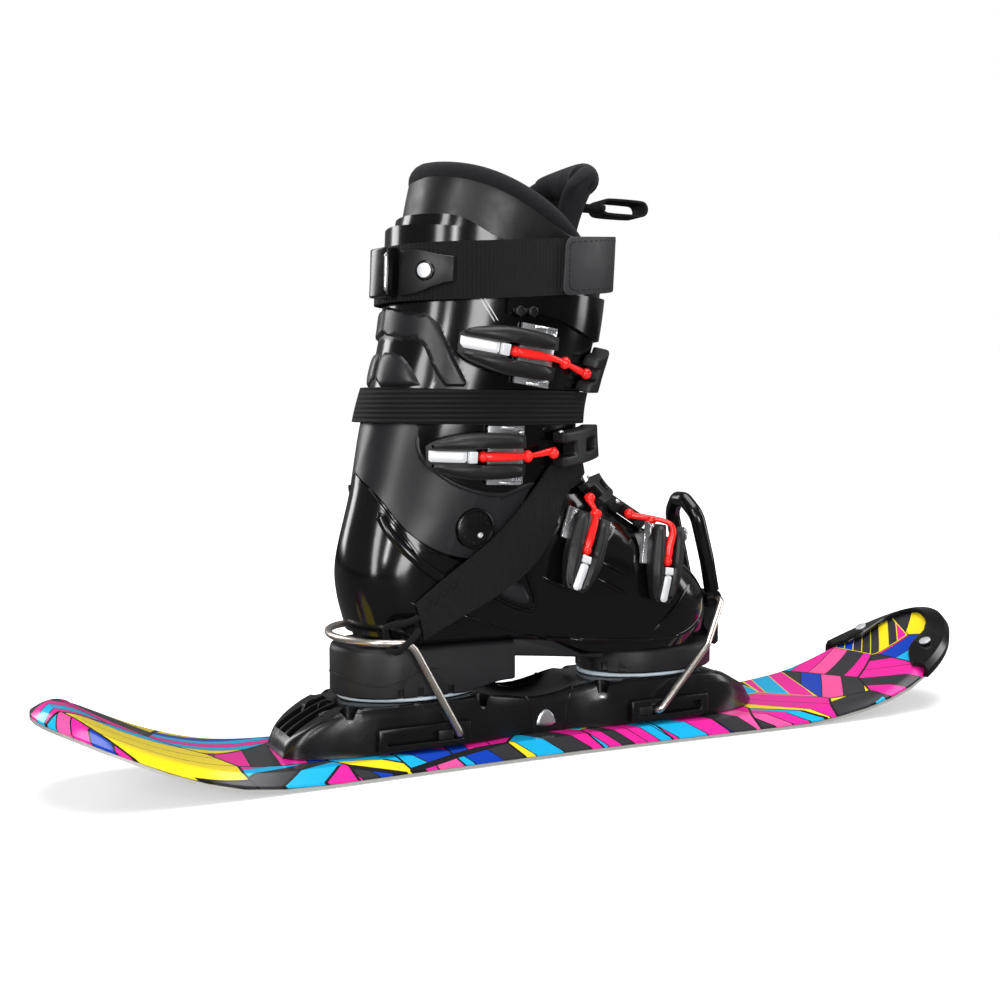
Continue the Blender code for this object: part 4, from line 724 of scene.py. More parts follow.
def slab(name, tree, look, outline, height_mm, material, body, round_mm=1.2, grid_mm=1.8, rounding=1):
    """A raised flat shape on the skin with a rounded border."""
    loop = [tuple(p) for p in soft_line(outline, rounding, closed=True)]
    low = np.min(loop, axis=0)
    high = np.max(loop, axis=0)
    flat = list(loop)
    for a in np.arange(low[0], high[0], grid_mm):
        for b in np.arange(low[1], high[1], grid_mm):
            if is_inside((a, b), loop) and border_gap((a, b), loop) > 0.5 * grid_mm:
                flat.append((float(a), float(b)))
    edges = [(i, (i + 1) % len(loop)) for i in range(len(loop))]
    flat, _, faces, _, _, _ = delaunay_2d_cdt([Vector(p) for p in flat], edges, [], 0, 1e-5)
    faces = [f for f in faces if is_inside(sum((flat[i] for i in f), Vector((0, 0))) / len(f), loop)]
    spots = [on_skin(tree, look, *p) for p in flat]
    gaps = [border_gap(p, loop) for p in flat]
    near = {i: set() for i in range(len(flat))}
    for face in faces:
        for i in face:
            near[i].update(face)
    outs = [out for _, out in spots]
    for _ in range(4):
        outs = [sum((outs[j] for j in near[i]), Vector()).normalized() if near[i] else outs[i]
                for i in range(len(outs))]
    work = bmesh.new()
    tops = []
    floors = []
    for (at, _), out, gap in zip(spots, outs, gaps):
        share = min(1.0, gap / round_mm)
        on_border = gap < ON_BORDER_MM
        height = -BORDER_SINK_MM if on_border else height_mm * math.sqrt(1 - (1 - share) ** 2)
        tops.append(work.verts.new(at + out * height * MM))
        floors.append(tops[-1] if on_border else work.verts.new(at - out * SLAB_ROOT_MM * MM))
    for face in faces:
        work.faces.new([tops[i] for i in face])
        if len({floors[i] for i in face} - {tops[i] for i in face}) > 0:
            work.faces.new([floors[i] for i in reversed(face)])
    stray = [v for v in work.verts if not v.link_faces]
    bmesh.ops.delete(work, geom=stray, context="VERTS")
    return finished(name, work, material, body)


print("ridges are drawn in steps of", STEP_MM, "mm")

# %% [markdown]
# ## Small things in numbers
# Screws, rivets, beads and stitches repeat. One Geometry Nodes group puts copies of a small piece
# on points, which is quicker to change than copies made by hand. Each point carries its own turn,
# stitches and marks vary a little in size, and the group ends in plain mesh with its material set.

# %% Copies on points
def copies_group():
    """Geometry Nodes: instances of Piece on the points, turned by their attribute, realised and finished."""
    group = bpy.data.node_groups.new("copies_on_points", "GeometryNodeTree")
    group.interface.new_socket("Points", in_out="INPUT", socket_type="NodeSocketGeometry")
    group.interface.new_socket("Piece", in_out="INPUT", socket_type="NodeSocketObject")
    group.interface.new_socket("Finish", in_out="INPUT", socket_type="NodeSocketMaterial")
    group.interface.new_socket("Smallest", in_out="INPUT", socket_type="NodeSocketFloat")
    group.interface.new_socket("Seed", in_out="INPUT", socket_type="NodeSocketInt")
    group.interface.new_socket("Copies", in_out="OUTPUT", socket_type="NodeSocketGeometry")
    given = group.nodes.new("NodeGroupInput")
    source = add(group, "GeometryNodeObjectInfo", {"Object": given.outputs["Piece"]})
    turn = add(group, "GeometryNodeInputNamedAttribute", {"Name": "turn"}, data_type="FLOAT_VECTOR")
    turned = add(group, "FunctionNodeEulerToRotation", {0: turn.outputs["Attribute"]})
    size = add(group, "FunctionNodeRandomValue", {2: given.outputs["Smallest"], 3: 1.0,
                                                  "Seed": given.outputs["Seed"]}, data_type="FLOAT")
    placed = add(group, "GeometryNodeInstanceOnPoints",
                 {"Points": given.outputs["Points"], "Instance": source.outputs["Geometry"],
                  "Rotation": turned.outputs[0], "Scale": size.outputs[1]})
    plain_mesh = add(group, "GeometryNodeRealizeInstances", {0: placed.outputs[0]})
    dressed = add(group, "GeometryNodeSetMaterial", {"Geometry": plain_mesh.outputs[0],
                                                     "Material": given.outputs["Finish"]})
    result = group.nodes.new("NodeGroupOutput")
    group.links.new(dressed.outputs[0], result.inputs["Copies"])
    return group


copies = copies_group()
sockets = {item.name: item.identifier for item in copies.interface.items_tree}


def spread(name, piece, spots, material, body, smallest=1.0, seed=1):
    """Copies of a piece on spots. A spot is a point, the direction out of it and one along it."""
    mesh = bpy.data.meshes.new(name)
    mesh.from_pydata([at for at, _, _ in spots], [], [])
    turns = mesh.attributes.new("turn", "FLOAT_VECTOR", "POINT")
    for i, (_, out, along) in enumerate(spots):
        side = out.cross(along).normalized()
        frame_axes = Matrix((side.cross(out), side, out)).transposed()
        turns.data[i].vector = frame_axes.to_euler()
    made = bpy.data.objects.new(name, mesh)
    bpy.context.scene.collection.objects.link(made)
    modifier = made.modifiers.new("copies", "NODES")
    modifier.node_group = copies
    modifier[sockets["Piece"]] = piece
    modifier[sockets["Finish"]] = material
    modifier[sockets["Smallest"]] = smallest
    modifier[sockets["Seed"]] = seed
    plain(made)
    shade(made, 50.0)
    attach(made, body)
    return made


def part_to_copy(name, work):
    """A small piece kept out of the scene, for copying."""
    mesh = bpy.data.meshes.new(name)
    bmesh.ops.recalc_face_normals(work, faces=work.faces)
    work.to_mesh(mesh)
    work.free()
    return bpy.data.objects.new(name, mesh)


def turned_part(name, profile, count=24):
    """A lathed piece on its z axis. A profile row is radius, height and, where a cross is cut, its share."""
    rows = []
    for radius, height, *cross in profile:
        row = []
        for k in range(count):
            share = cross[0] if cross and k % (count // 4) not in (0, 1, count // 4 - 1) else 1.0
            angle = math.tau * k / count
            row.append(Vector((math.cos(angle), math.sin(angle), 0)) * radius * share * MM
                       + Vector((0, 0, height * MM)))
        rows.append(row)
    work = bmesh.new()
    sweep(work, rows)
    return part_to_copy(name, work)


def pebble(name, length, width, height):
    """A small rounded piece, longest along x: a stitch or a bead."""
    work = bmesh.new()
    bmesh.ops.create_uvsphere(work, u_segments=10, v_segments=6, radius=0.5)
    bmesh.ops.scale(work, vec=Vector((length, width, height)) * MM, verts=work.verts)
    return part_to_copy(name, work)


def block(name, length, width, height, edge=0.3):
    """A small box with rounded edges that stands on z = 0."""
    work = bmesh.new()
    bmesh.ops.create_cube(work, size=1.0)
    bmesh.ops.scale(work, vec=Vector((length, width, height)) * MM, verts=work.verts)
    bmesh.ops.translate(work, vec=(0, 0, height * MM / 2), verts=work.verts)
    bmesh.ops.bevel(work, geom=work.edges[:], offset=edge * MM, segments=2, affect="EDGES", profile=0.5)
    return part_to_copy(name, work)


screw_part = turned_part("screw", ((4.7, -1.5), (4.8, 0.2), (4.4, 0.9), (3.2, 1.25), (2.3, 1.3),
                                   (2.2, 1.25, 0.4), (1.9, -0.3, 0.4)))
rivet_part = turned_part("rivet", ((1.7, -0.6), (1.75, 0.3), (1.4, 0.8), (0.7, 1.05), (0.2, 1.1)), 16)
stitch_part = pebble("stitch", 2.3, 0.65, 0.6)
bead_part = pebble("bead", 1.1, 1.1, 0.9)
root_bead = pebble("rod_root_bead", 7.2, 7.2, 7.2)
collar_bead = pebble("rod_collar_bead", 6.6, 8.0, 8.0)
tip_bead = pebble("rod_tip_bead", 7.0, 7.0, 7.0)
print("small pieces ready, sockets", sorted(sockets))

# %% [markdown]
# ## The shell's and the cuff's relief
# The shell has a flange under the cuff's edge, a triangular recess over the arch, ridges over the
# forefoot and a ledge line above the sole. The cuff has a raised frame round a window, with a hump
# behind it. Sculpting would need the whole shell at a fine mesh, so each line is drawn once as a
# piece of its own and put on both sides.

# %% Shell relief
BOARD = "board_and_shell"
HEEL_X = -75.0
CUFF_X = -40.0
shell_tree = search_tree(shell)
cuff_skin = search_tree(cuff)
FLANGE = unrolled(HEEL_X, (-112, -8, 178), (-109.9, -17.7, 170.3), (-104.8, -25.9, 160.4),
                  (-98.3, -32.2, 148.6), (-89.7, -36.4, 137.1), (-85.1, -37.8, 128.6), (-74.9, -38.3, 122.0),
                  (-64, -38.3, 116))
LOWER_FLANGE = unrolled(HEEL_X, (-107, -24, 158), (-103.9, -28.6, 148.5), (-98.8, -33.4, 140.3),
                        (-92.1, -36, 132.9), (-80.7, -38.1, 122.9), (-68, -38.2, 114))
RECESS_FACET = ((-41, 109.5), (-25, 100), (-9.5, 96), (-19, 116))
SHELL_LINES = {
    "ledge": (((-58, 94), (-25, 79.6), (5, 73.5), (33, 71.8), (70, 69.5), (94, 69), (108, 73), (119, 80)),
              2.6, 1.1),
    "recess_rim": (((-50, 113), (-25, 96.5), (-5, 92), (-18, 125)), 2.8, 2.0),
    "upper_ridge": (((36, 122.5), (56, 113)), 2.6, 1.3),
    "lower_ridge": (((34, 112), (55, 100)), 3.2, 1.6),
    "arch_ridge": (((-4, 115), (16, 104)), 2.6, 1.2),
    "toe_ridge": (((77, 76), (90, 88.5), (103, 102), (111, 105)), 2.4, 1.2),
    "heel_ridge": (((-92, 104), (-72, 93), (-52, 86)), 1.8, 0.7),
}
for where, side in SIDES:
    heel_look = round_look(HEEL_X, side)
    ridge("shell_flange_" + where, shell_tree, heel_look, FLANGE, 2.4, 1.6, gloss_shell, BOARD)
    ridge("shell_lower_flange_" + where, shell_tree, heel_look, LOWER_FLANGE, 6.5, 1.9, gloss_shell, BOARD)
    for what, (line, width, height) in SHELL_LINES.items():
        ridge("shell_%s_%s" % (what, where), shell_tree, sideways[side], line, width, height, gloss_shell,
              BOARD)
    slab("shell_recess_facet_" + where, shell_tree, sideways[side], RECESS_FACET, 2.4, satin_plastic, BOARD,
         5.0)

# %% Cuff relief
WINDOW_FRAME = unrolled(CUFF_X, (-94, 0, 283), (-90.5, -6.2, 282), (-77.8, -34.4, 276), (-73, -38.5, 271),
                        (-66.5, -43.3, 253), (-58.8, -46.2, 237), (-58.8, -46.2, 233), (-71, -42.3, 233),
                        (-76.2, -39.4, 241), (-81, -33.9, 256.5), (-83.9, -30.2, 261), (-93.6, -1.8, 265),
                        (-94, 0, 265))
HUMP = unrolled(CUFF_X, (-96, 0, 255), (-91.7, -20.4, 254), (-87.6, -29.3, 245.5), (-84.5, -34.3, 236),
                (-83.5, -34.9, 233), (-96, 0, 233))
PANEL_LINE = ((-86, 206),) + PANEL_EDGE[:-1] + ((12, 178),)
PINSTRIPES = (((-51.5, 287), (-41.9, 272)), ((-49.4, 287.6), (-39.8, 272.6)))
for where, side in SIDES:
    cuff_look = round_look(CUFF_X, side)
    slab("cuff_frame_" + where, cuff_skin, cuff_look, WINDOW_FRAME, 2.2, satin_plastic, "cuff", 2.4,
         rounding=0)
    slab("cuff_hump_" + where, cuff_skin, cuff_look, HUMP, 2.4, satin_plastic, "cuff", 9.0)
    ridge("cuff_panel_edge_" + where, cuff_skin, sideways[side], PANEL_LINE, 3.2, 1.0, satin_plastic, "cuff")
    for i, stripe in enumerate(PINSTRIPES):
        ridge("cuff_pinstripe_%s_%d" % (where, i), cuff_skin, sideways[side], stripe, 0.7, 0.12, white_paint,
              "cuff", 0, 1.0)
print("relief pieces on both sides")

# %% [markdown]
# ## Ankle dials, bolts and screws
# A smooth dial with a raised rim covers each ankle rivet. Small marks stand in a ring inside the rim,
# and a pin sits beside the middle. Two black hexagon bolts hold the shin flap, and six pan-head
# screws hold the plate to the board, each with its cross turned as the screwdriver left it. They
# are lathed once and copied, because a fastener is the same everywhere.

# %% Dials, bolts and screws
DIAL = (-51.0, 147.0)
DIAL_MARKS = 13
MARK_STEP = 24
MARK_START = 20
MARK_RING_MM = 8.6
PIN_PLACE = (3.0, -4.0)
dial_rim = turned_part("dial_rim", ((12.4, -0.8), (12.5, 0.4), (12.0, 1.0), (11.2, 1.1), (10.8, 0.5),
                                    (10.7, -0.8)), 48)
hex_bolt = turned_part("hex_bolt", ((3.4, -1.0), (3.5, 2.2), (3.1, 2.6), (2.2, 2.6), (2.1, 1.2)), 6)
for where, side in SIDES:
    dial_tree = search_tree(dials[where])
    out = Vector((0, side, 0))
    centre = on_skin(dial_tree, sideways[side], *DIAL)[0]
    spread("dial_rim_" + where, dial_rim, [(centre, out, Vector((1, 0, 0)))], loop_nylon, BOARD)
    marks = []
    for k in range(DIAL_MARKS):
        angle = math.radians(MARK_START + MARK_STEP * k)
        at = on_skin(dial_tree, sideways[side], DIAL[0] + MARK_RING_MM * math.cos(angle),
                     DIAL[1] + MARK_RING_MM * math.sin(angle))[0]
        marks.append((at, out, Vector((1, 0, 0))))
    spread("dial_marks_" + where, bead_part, marks, lever_nylon, BOARD, 0.95, 4)
    pin = on_skin(dial_tree, sideways[side], DIAL[0] + PIN_PLACE[0], DIAL[1] + PIN_PLACE[1])[0]
    spread("dial_pin_" + where, rivet_part, [(pin, out, Vector((1, 0, 0)))], screw_steel, BOARD)

flap_tree = search_tree(shin_flap)
BOLT_PLACES = ((-28, 278.5), (-19.5, 278.5))
bolts = [on_skin(flap_tree, sideways[-1], x, z) for x, z in BOLT_PLACES]
spread("shin_flap_bolts", hex_bolt, [(at, out, Vector((0, 0, 1))) for at, out in bolts], grained_nylon,
       "cuff")

SCREW_PLACES = ((-128, 27.5), (-42, 28.0), (47, 27.5))
SCREW_HEIGHT = 31.6
screws = [(Vector((x, side * y, SCREW_HEIGHT)) * MM, Vector((0, 0, 1)),
           Vector((math.cos(x), math.sin(x), 0)))
          for x, y in SCREW_PLACES for _, side in SIDES]
spread("plate_screws", screw_part, screws, screw_steel, BOARD)
print("screws:", len(screws), "bolts:", len(bolts))

# %% [markdown]
# ## Plate and sole
# The plate has three ribs on each half of its rear slope, a rim line along its shoulders, an oval
# dish beside the arch and a bare metal inlay in its flank. The heel block's two mouldings meet in a
# wavy line.
# All are lower than 1.5 mm, so they are drawn on the skin like the shell's ridges.

# %% Plate and sole relief
plate_tree = search_tree(plate)
heel_tree = search_tree(heel_sole)
DISH = [(10 + 17 * math.cos(turn), 24 + 4.5 * math.sin(turn)) for turn in np.radians(range(0, 361, 15))]
SOLE_X = -95
WAVE = unrolled(SOLE_X, (-128.9, -1.2, 58.1), (-125.7, -14.3, 56.6), (-119.5, -23.7, 54.1),
                (-106.6, -32.1, 52.1), (-94.5, -34.5, 56.3), (-83.4, -34.5, 62.0), (-71.5, -34.5, 61.6))
RIM = ((60, 29.5), (120, 29.5), (158, 24), (172, 14))
RIBS_Y = (5, 11, 17)
INLAY = ((-1, 15.5), (13.5, 15.5), (12.5, 21), (9.5, 25.5), (5.5, 27), (1.5, 24), (-0.5, 19.5))
for where, side in SIDES:
    for k, y in enumerate(RIBS_Y):
        rib = ((-161, y * 0.8), (-136, y))
        ridge("plate_rib_%s_%d" % (where, k), plate_tree, downward[side], rib, 2.6, 1.3, plate_nylon, BOARD)
    ridge("plate_dish_" + where, plate_tree, downward[side], DISH, 1.6, 0.9, plate_nylon, BOARD, 0, 0.6)
    ridge("plate_rim_" + where, plate_tree, downward[side], RIM, 1.4, 0.6, plate_nylon, BOARD)
    ridge("heel_wave_" + where, heel_tree, round_look(SOLE_X, side), WAVE, 0.9, 0.45, grained_nylon, BOARD)
    slab("plate_inlay_" + where, plate_tree, sideways[side], INLAY, 0.5, brushed_plate, BOARD, 0.4, 1.2)
print("plate and sole finished")

# %% [markdown]
# ## Buckles
# Each buckle has a forked nylon lever with two raised wings, a bare metal label plate in the valley
# between them, a bright block where the red rod starts, a plated base with its pin's rivets, and a
# catch on the other flap. The four sets differ in size and direction only. So one loop dresses them
# all, and takes each lever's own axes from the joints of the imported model.

# %% Sizes of a buckle, before it is scaled
WIDTHS = {"upper": 0.95, "lower": 0.93, "instep": 0.84, "toe": 0.80}
LEVER_ARM_MM = 25.0
HALF_WIDTHS = ((-26, 13.9), (-15, 15.1), (5, 15.5), (13, 14.0), (26, 10.5), (31, 6.3))
WING_OUTER = (-25, -15, -5, 5, 13, 21, 26, 30)
WING_INNER = ((30, 4.6), (18, 4.6), (6, 4.6), (-3, 5.9), (-25, 5.9))
WING_MARGIN_MM = 1.0
LABEL_START, LABEL_END, LABEL_HALF = 10.6, 30.5, 3.7
BLOCK_AT, BLOCK_LENGTH, BLOCK_HEIGHT = 7.7, 5.4, 3.6
RIVET_OUT = 15.6
CATCH_INSET_MM = 4.5


def wing_outline(scale, width, k):
    """The outline of a lever's wing on one side, k = -1 or 1, seen from above the lever."""
    outer = [(t * scale, k * (between(HALF_WIDTHS, t) * width - WING_MARGIN_MM)) for t in WING_OUTER]
    return outer + [(t * scale, k * gap * width) for t, gap in WING_INNER]


print("widest lever in mm:", round(2 * max(WIDTHS.values()) * max(half for _, half in HALF_WIDTHS), 1))

# %% [markdown]
# A lacquered rod has three beads: one at the lever, a collar at its knuckle and one behind its tip.
# The rod's own points say where they sit: the tip is the point farthest from the lever, and the
# knuckle is the middle of the ring of points at a known share of the way there.

# %% Beads on the red rods
KNUCKLE_SHARE = 0.62
KNUCKLE_RING_MM = 0.9
TIP_BACK_MM = 2.5


def rod_beads(which, start):
    """A rod's direction and the places of its three beads."""
    places = [v.co for v in nodes["buckle_%s_rod" % which].data.vertices]
    tip = max(places, key=lambda place: (place - start).length)
    way = (tip - start).normalized()
    reach = KNUCKLE_SHARE * (tip - start).length
    nearest = min(places, key=lambda place: abs((place - start).dot(way) - reach))
    ring = [place for place in places if abs((place - nearest).dot(way)) < KNUCKLE_RING_MM * MM]
    knuckle = sum(ring, Vector()) / len(ring)
    return way, ((root_bead, start), (collar_bead, knuckle), (tip_bead, tip - way * TIP_BACK_MM * MM))


upper_start = Vector(joints["upper_rod_turn"]["pos_m"])
print("the upper rod points along", [round(c, 2) for c in rod_beads("upper", upper_start)[0]])

# %% Dressed buckles
for which, width in WIDTHS.items():
    lever = dress("buckle_%s_lever" % which, lever_nylon, 2, crease=0.7)
    dress("buckle_%s_rod" % which, red_rod, 2, 80.0, edge=80.0)
    bevelled("buckle_%s_base" % which, bright_plate, 0.6, 3)
    catch = dress("buckle_%s_catch" % which, lever_nylon, 3, crease=0.45)
    pin = joints[which + "_lever_turn"]
    start = Vector(joints[which + "_rod_turn"]["pos_m"])
    axis = Vector(pin["axis"]).normalized()
    pull = start - Vector(pin["pos_m"])
    scale = pull.length / (LEVER_ARM_MM * MM)
    pull.normalize()
    outward = pull.cross(axis)
    if outward.y > 0:
        outward.negate()
    look = flat_look(start, pull, axis, -outward)
    tree = search_tree(lever)
    body = which + "_lever"
    for k in (-1, 1):
        slab("%s_wing_%d" % (body, k), tree, look, wing_outline(scale, width, k), 1.7, lever_nylon, body,
             3.4)
    front, back, half = LABEL_START * scale, LABEL_END * scale, LABEL_HALF * width
    slab(body + "_label", tree, look, ((front, -half), (back, -half), (back, half), (front, half)), 1.0,
         label_plate, body, 0.4, 1.5, 0)
    block_part = block(body + "_block_part", BLOCK_LENGTH * scale, 2 * half, BLOCK_HEIGHT, 0.5)
    spread(body + "_block", block_part, [(start + pull * BLOCK_AT * scale * MM, outward, pull)], label_plate,
           body)
    rod_way, beads = rod_beads(which, start)
    for bead, at in beads:
        spread("buckle_%s_%s" % (which, bead.name), bead, [(at, outward, rod_way)], red_rod, which + "_rod")
    rivets = [(Vector(pin["pos_m"]) + axis * k * RIVET_OUT * width * MM, axis * k, pull) for k in (-1, 1)]
    spread(body + "_rivets", rivet_part, rivets, bright_plate, nodes["buckle_%s_base" % which]["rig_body"])
    low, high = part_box("buckle_%s_catch" % which)
    at, out = on_skin(search_tree(catch), sideways[-1], low[0] / MM + CATCH_INSET_MM,
                      high[2] / MM - CATCH_INSET_MM)
    spread("buckle_%s_catch_rivet" % which, rivet_part, [(at, out, Vector((0, 0, 1)))], bright_plate,
           nodes["buckle_%s_catch" % which]["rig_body"])
print("buckles finished:", ", ".join(WIDTHS))

# %% [markdown]
# ## Straps and leash
# The webbing's weave and ribs follow a UV map in metres that runs round the boot, since a pattern in
# plain coordinates would smear where the strap turns. The leash's webbing crosses the ankle joint
# and its cord crosses the bail's joint, so neither is attached to a body.

# %% Straps
STRAP_RADIUS = 0.052


def strap_uv(piece):
    """A UV map in metres that follows a band round the boot: arc along it, height up it."""
    mesh = piece.data
    layer = mesh.uv_layers.get("cloth") or mesh.uv_layers.new(name="cloth")
    places = [v.co for v in mesh.vertices]
    middle_x = sum(p.x for p in places) / len(places)
    middle_y = sum(p.y for p in places) / len(places)
    for loop in mesh.loops:
        p = mesh.vertices[loop.vertex_index].co
        around = math.atan2(p.y - middle_y, p.x - middle_x)
        layer.data[loop.index].uv = (around * STRAP_RADIUS, p.z)
    return piece


strap_uv(dress("power_strap", strap_webbing, 2))
strap_uv(dress("leash_band", band_webbing, 2))
leash = strap_uv(dress("leash_webbing", leash_webbing, 2, rides=False))
buckle_box = bevelled("strap_buckle", loop_nylon, 1.2, 3)
bevelled("strap_side_plate", grained_nylon, 0.8)
bevelled("strap_rivet", screw_steel, 0.5, 3)
ring_part = turned_part("ring", ((6.0, -0.8), (6.1, 0.8), (5.6, 1.3), (4.9, 1.3), (4.6, 0.6), (4.6, -0.8)),
                        32)
ring_out = Vector((-0.72, -0.69, 0.0)).normalized()
RING_SINK_MM = 1.6
low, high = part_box("strap_rivet")
ring_at = (Vector(low) + Vector(high)) / 2 - ring_out * RING_SINK_MM * MM
spread("strap_rivet_ring", ring_part, [(ring_at, ring_out, Vector((0, 0, 1)))], loop_nylon, "cuff")
STRAP_X = -20
BAR_ENDS = unrolled(STRAP_X, (-94.5, -21.5, 290), (-94.5, -21.5, 313))
ridge("strap_buckle_plate", search_tree(buckle_box), round_look(STRAP_X, -1), BAR_ENDS, 2.2, 1.2,
      bright_plate, "cuff", 0, 1.0)
print("strap pieces finished, ring at", [round(c, 3) for c in ring_at])

# %% [markdown]
# The end patch is a stitched tab with two round corners. Its outline comes from its own node, laid
# flat round the boot, so that the stitches keep their distance from its edge all the way.

# %% The strap's patch

PATCH_X = -12.0
COLUMN_MM = 8
CORNER_MM = 5.5
SEWN_END_MM = 2.5
LEVEL_MM = 0.6
SHORT_MM = 3.0
patch_look = round_look(PATCH_X, -1)


def way_round(place):
    """How far a place lies along the patch's flat outline, in millimetres."""
    return math.atan2(-place.y, PATCH_X * MM - place.x) % math.tau * ROLL_RADIUS


corners = [(way_round(v.co), v.co.z / MM) for v in nodes["strap_patch"].data.vertices]
first = min(a for a, _ in corners)
last = max(a for a, _ in corners)


def patch_border(outermost):
    """The patch's lower (min) or upper (max) border as a curve over the way round the boot."""
    columns = {}
    for a, z in corners:
        columns.setdefault(round(a / COLUMN_MM), []).append(z)
    return np.polyfit([COLUMN_MM * column for column in columns],
                      [outermost(heights) for heights in columns.values()], 2)


def patch_outline(inset, radius):
    """The patch's outline, set in from its border, with two round corners at its sewn end."""
    start = first + inset + radius
    line = []
    for border, lean in ((patch_border(max), 1), (patch_border(min), -1)):
        row = [(a, np.polyval(border, a) - lean * inset) for a in np.linspace(last - inset, start, 9)]
        middle_height = row[-1][1] - lean * radius
        row += [(start - radius * math.sin(turn), middle_height + lean * radius * math.cos(turn))
                for turn in np.radians((30, 60, 90))]
        line += row[::lean]
    return [(float(a), float(b)) for a, b in line]


def is_patch_corner(edge):
    """Whether an edge runs through the patch's thickness at one of its sewn end's two corners."""
    is_at_end = max(way_round(v.co) for v in edge.verts) < first + SEWN_END_MM
    rise = abs(edge.verts[0].co.z - edge.verts[1].co.z)
    return is_at_end and rise < LEVEL_MM * MM and edge.calc_length() < SHORT_MM * MM


patch_work = clean_copy("strap_patch")
patch_corners = [edge for edge in patch_work.edges if is_patch_corner(edge)]
patch_corners.sort(key=lambda edge: edge.verts[0].co.z)
bmesh.ops.bevel(patch_work, geom=[patch_corners[0], patch_corners[-1]], offset=CORNER_MM * MM, segments=5,
                profile=0.5, affect="EDGES")
patch = bevelled("strap_patch", patch_leather, 0.6, 2, work=patch_work)
patch_tree = search_tree(patch)
print("patch corners rounded, the outer two of", len(patch_corners))


def stitches(name, tree, look, line, body, material, gap_mm=3.1):
    """Stitches end to end along a flat line, each aimed at the skin a little ahead of it."""
    places = [Vector(p) for p in line]
    spots = []
    for here, after in zip(places, places[1:]):
        count = max(1, round((after - here).length / gap_mm))
        for i in range(count):
            at, out = on_skin(tree, look, *here.lerp(after, (i + 0.5) / count))
            ahead, _ = on_skin(tree, look, *here.lerp(after, (i + 0.8) / count))
            spots.append((at, out, (ahead - at).normalized()))
    return spread(name, stitch_part, spots, material, body, 0.85, 7)


stitches("patch_stitches", patch_tree, patch_look, patch_outline(3.0, 3.5), "cuff", black_thread)

# %% Leash
leash_tree = search_tree(leash)
ZIGZAG = [(-83 + 3.0 * k, 97 + 2.2 * k + 6 * (k % 2)) for k in range(8)]
for i, line in enumerate(zip(ZIGZAG, ZIGZAG[1:])):
    stitches("leash_tack_%d" % i, leash_tree, sideways[-1], line, BOARD, black_thread, 2.4)
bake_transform(leash)
print("stitches on the leash:", len(ZIGZAG) - 1, "short lines")

# %% [markdown]
# The cord is a tube along a smooth curve through a few points: out of the leash, round the heel
# bail's wire and back to its knot. A bevelled curve object would do too, but the export wants plain
# mesh, and a tube of rings is that from the start.

# %% Cord
def through(points, count):
    """A smooth curve through points, as evenly counted places (Catmull-Rom)."""
    points = [Vector(p) for p in points]
    extended = [points[0] * 2 - points[1]] + points + [points[-1] * 2 - points[-2]]
    places = []
    for i in range(count + 1):
        at = i / count * (len(points) - 1)
        k = min(int(at), len(points) - 2)
        t = at - k
        p0, p1, p2, p3 = extended[k:k + 4]
        places.append(0.5 * (2 * p1 + (p2 - p0) * t + (2 * p0 - 5 * p1 + 4 * p2 - p3) * t ** 2
                             + (3 * p1 - p0 - 3 * p2 + p3) * t ** 3))
    return places


def tube(name, path, radii, material, closed=False, sides=14):
    """A round piece along a path in metres. radii gives the radius in millimetres at each place."""
    count = len(path)
    rows = []
    normal = Vector((0, 0, 1))
    for i, at in enumerate(path):
        before = path[i - 1] if closed or i > 0 else at
        after = path[(i + 1) % count] if closed or i < count - 1 else at
        along = (after - before).normalized()
        normal = (normal - along * normal.dot(along)).normalized()
        side = along.cross(normal)
        angles = [math.tau * k / sides for k in range(sides)]
        rows.append([at + (normal * math.cos(g) + side * math.sin(g)) * radii[i] * MM for g in angles])
    work = bmesh.new()
    sweep(work, rows, closed)
    bmesh.ops.recalc_face_normals(work, faces=work.faces)
    return shade(as_object(name, work, material), 80.0)


CORD_RADIUS_MM = 1.95
CORD_START = Vector((-86.06, -39.51, 91.98))
CORD_STEPS = ((-2.6, -1.0, 2.5), (-8, -3.5, 1.5), (-14, -4.5, 0.5), (-19, -1.5, -0.5), (-21, 4.5, -3.5),
              (-19.5, 6.0, -10.5), (-19, 1.0, -15.8), (-17.5, -6.5, -16), (-13.5, -9, -12), (-8, -8.5, -7.5),
              (-3.4, -4.2, -4.5))
cord_path = through([(CORD_START + Vector(step)) * MM for step in CORD_STEPS], 88)
cord = tube("leash_cord_finished", cord_path, [CORD_RADIUS_MM] * len(cord_path), cord_braid)
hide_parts("leash_cord")
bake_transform(cord)

# %% [markdown]
# ## Liner and tongue
# The liner's shaft is coated fabric, and a thick fleece roll runs along its top edge. The tongue is
# a stuffed plush lobe with a loop of webbing sewn to its front. They are smooth all over, so no
# edge is creased. A cloth simulation would wrinkle them, but a boot's foam is too firm for that.
# Inside the shell the shaft is drawn in a little, as foam is when the cuff flexes onto it.

# %% Liner and tongue
liner = dress("liner_shaft", coated_liner, 2, 75.0, 0.5, 75.0)
tongue = dress("tongue", tongue_plush, 2, 179.0, 0.0, 80.0)
finish_node("liner_foot", coated_liner)
LINER_X = -25.0
TUCK_MM = 1.2
TUCK_BELOW_MM = 225
TUCK_FADE_MM = 12
for vertex in liner.data.vertices:
    depth = TUCK_BELOW_MM * MM - vertex.co.z
    if depth > 0:
        outward = Vector((vertex.co.x - LINER_X * MM, vertex.co.y, 0)).normalized()
        vertex.co -= outward * TUCK_MM * MM * min(1.0, depth / (TUCK_FADE_MM * MM))
print("liner drawn in below", TUCK_BELOW_MM, "mm")

# %% [markdown]
# The collar's roll follows the highest points of the shaft, one for each ten degrees round the leg,
# smoothed into a closed curve. The tongue's roll follows its front face, found by rays.

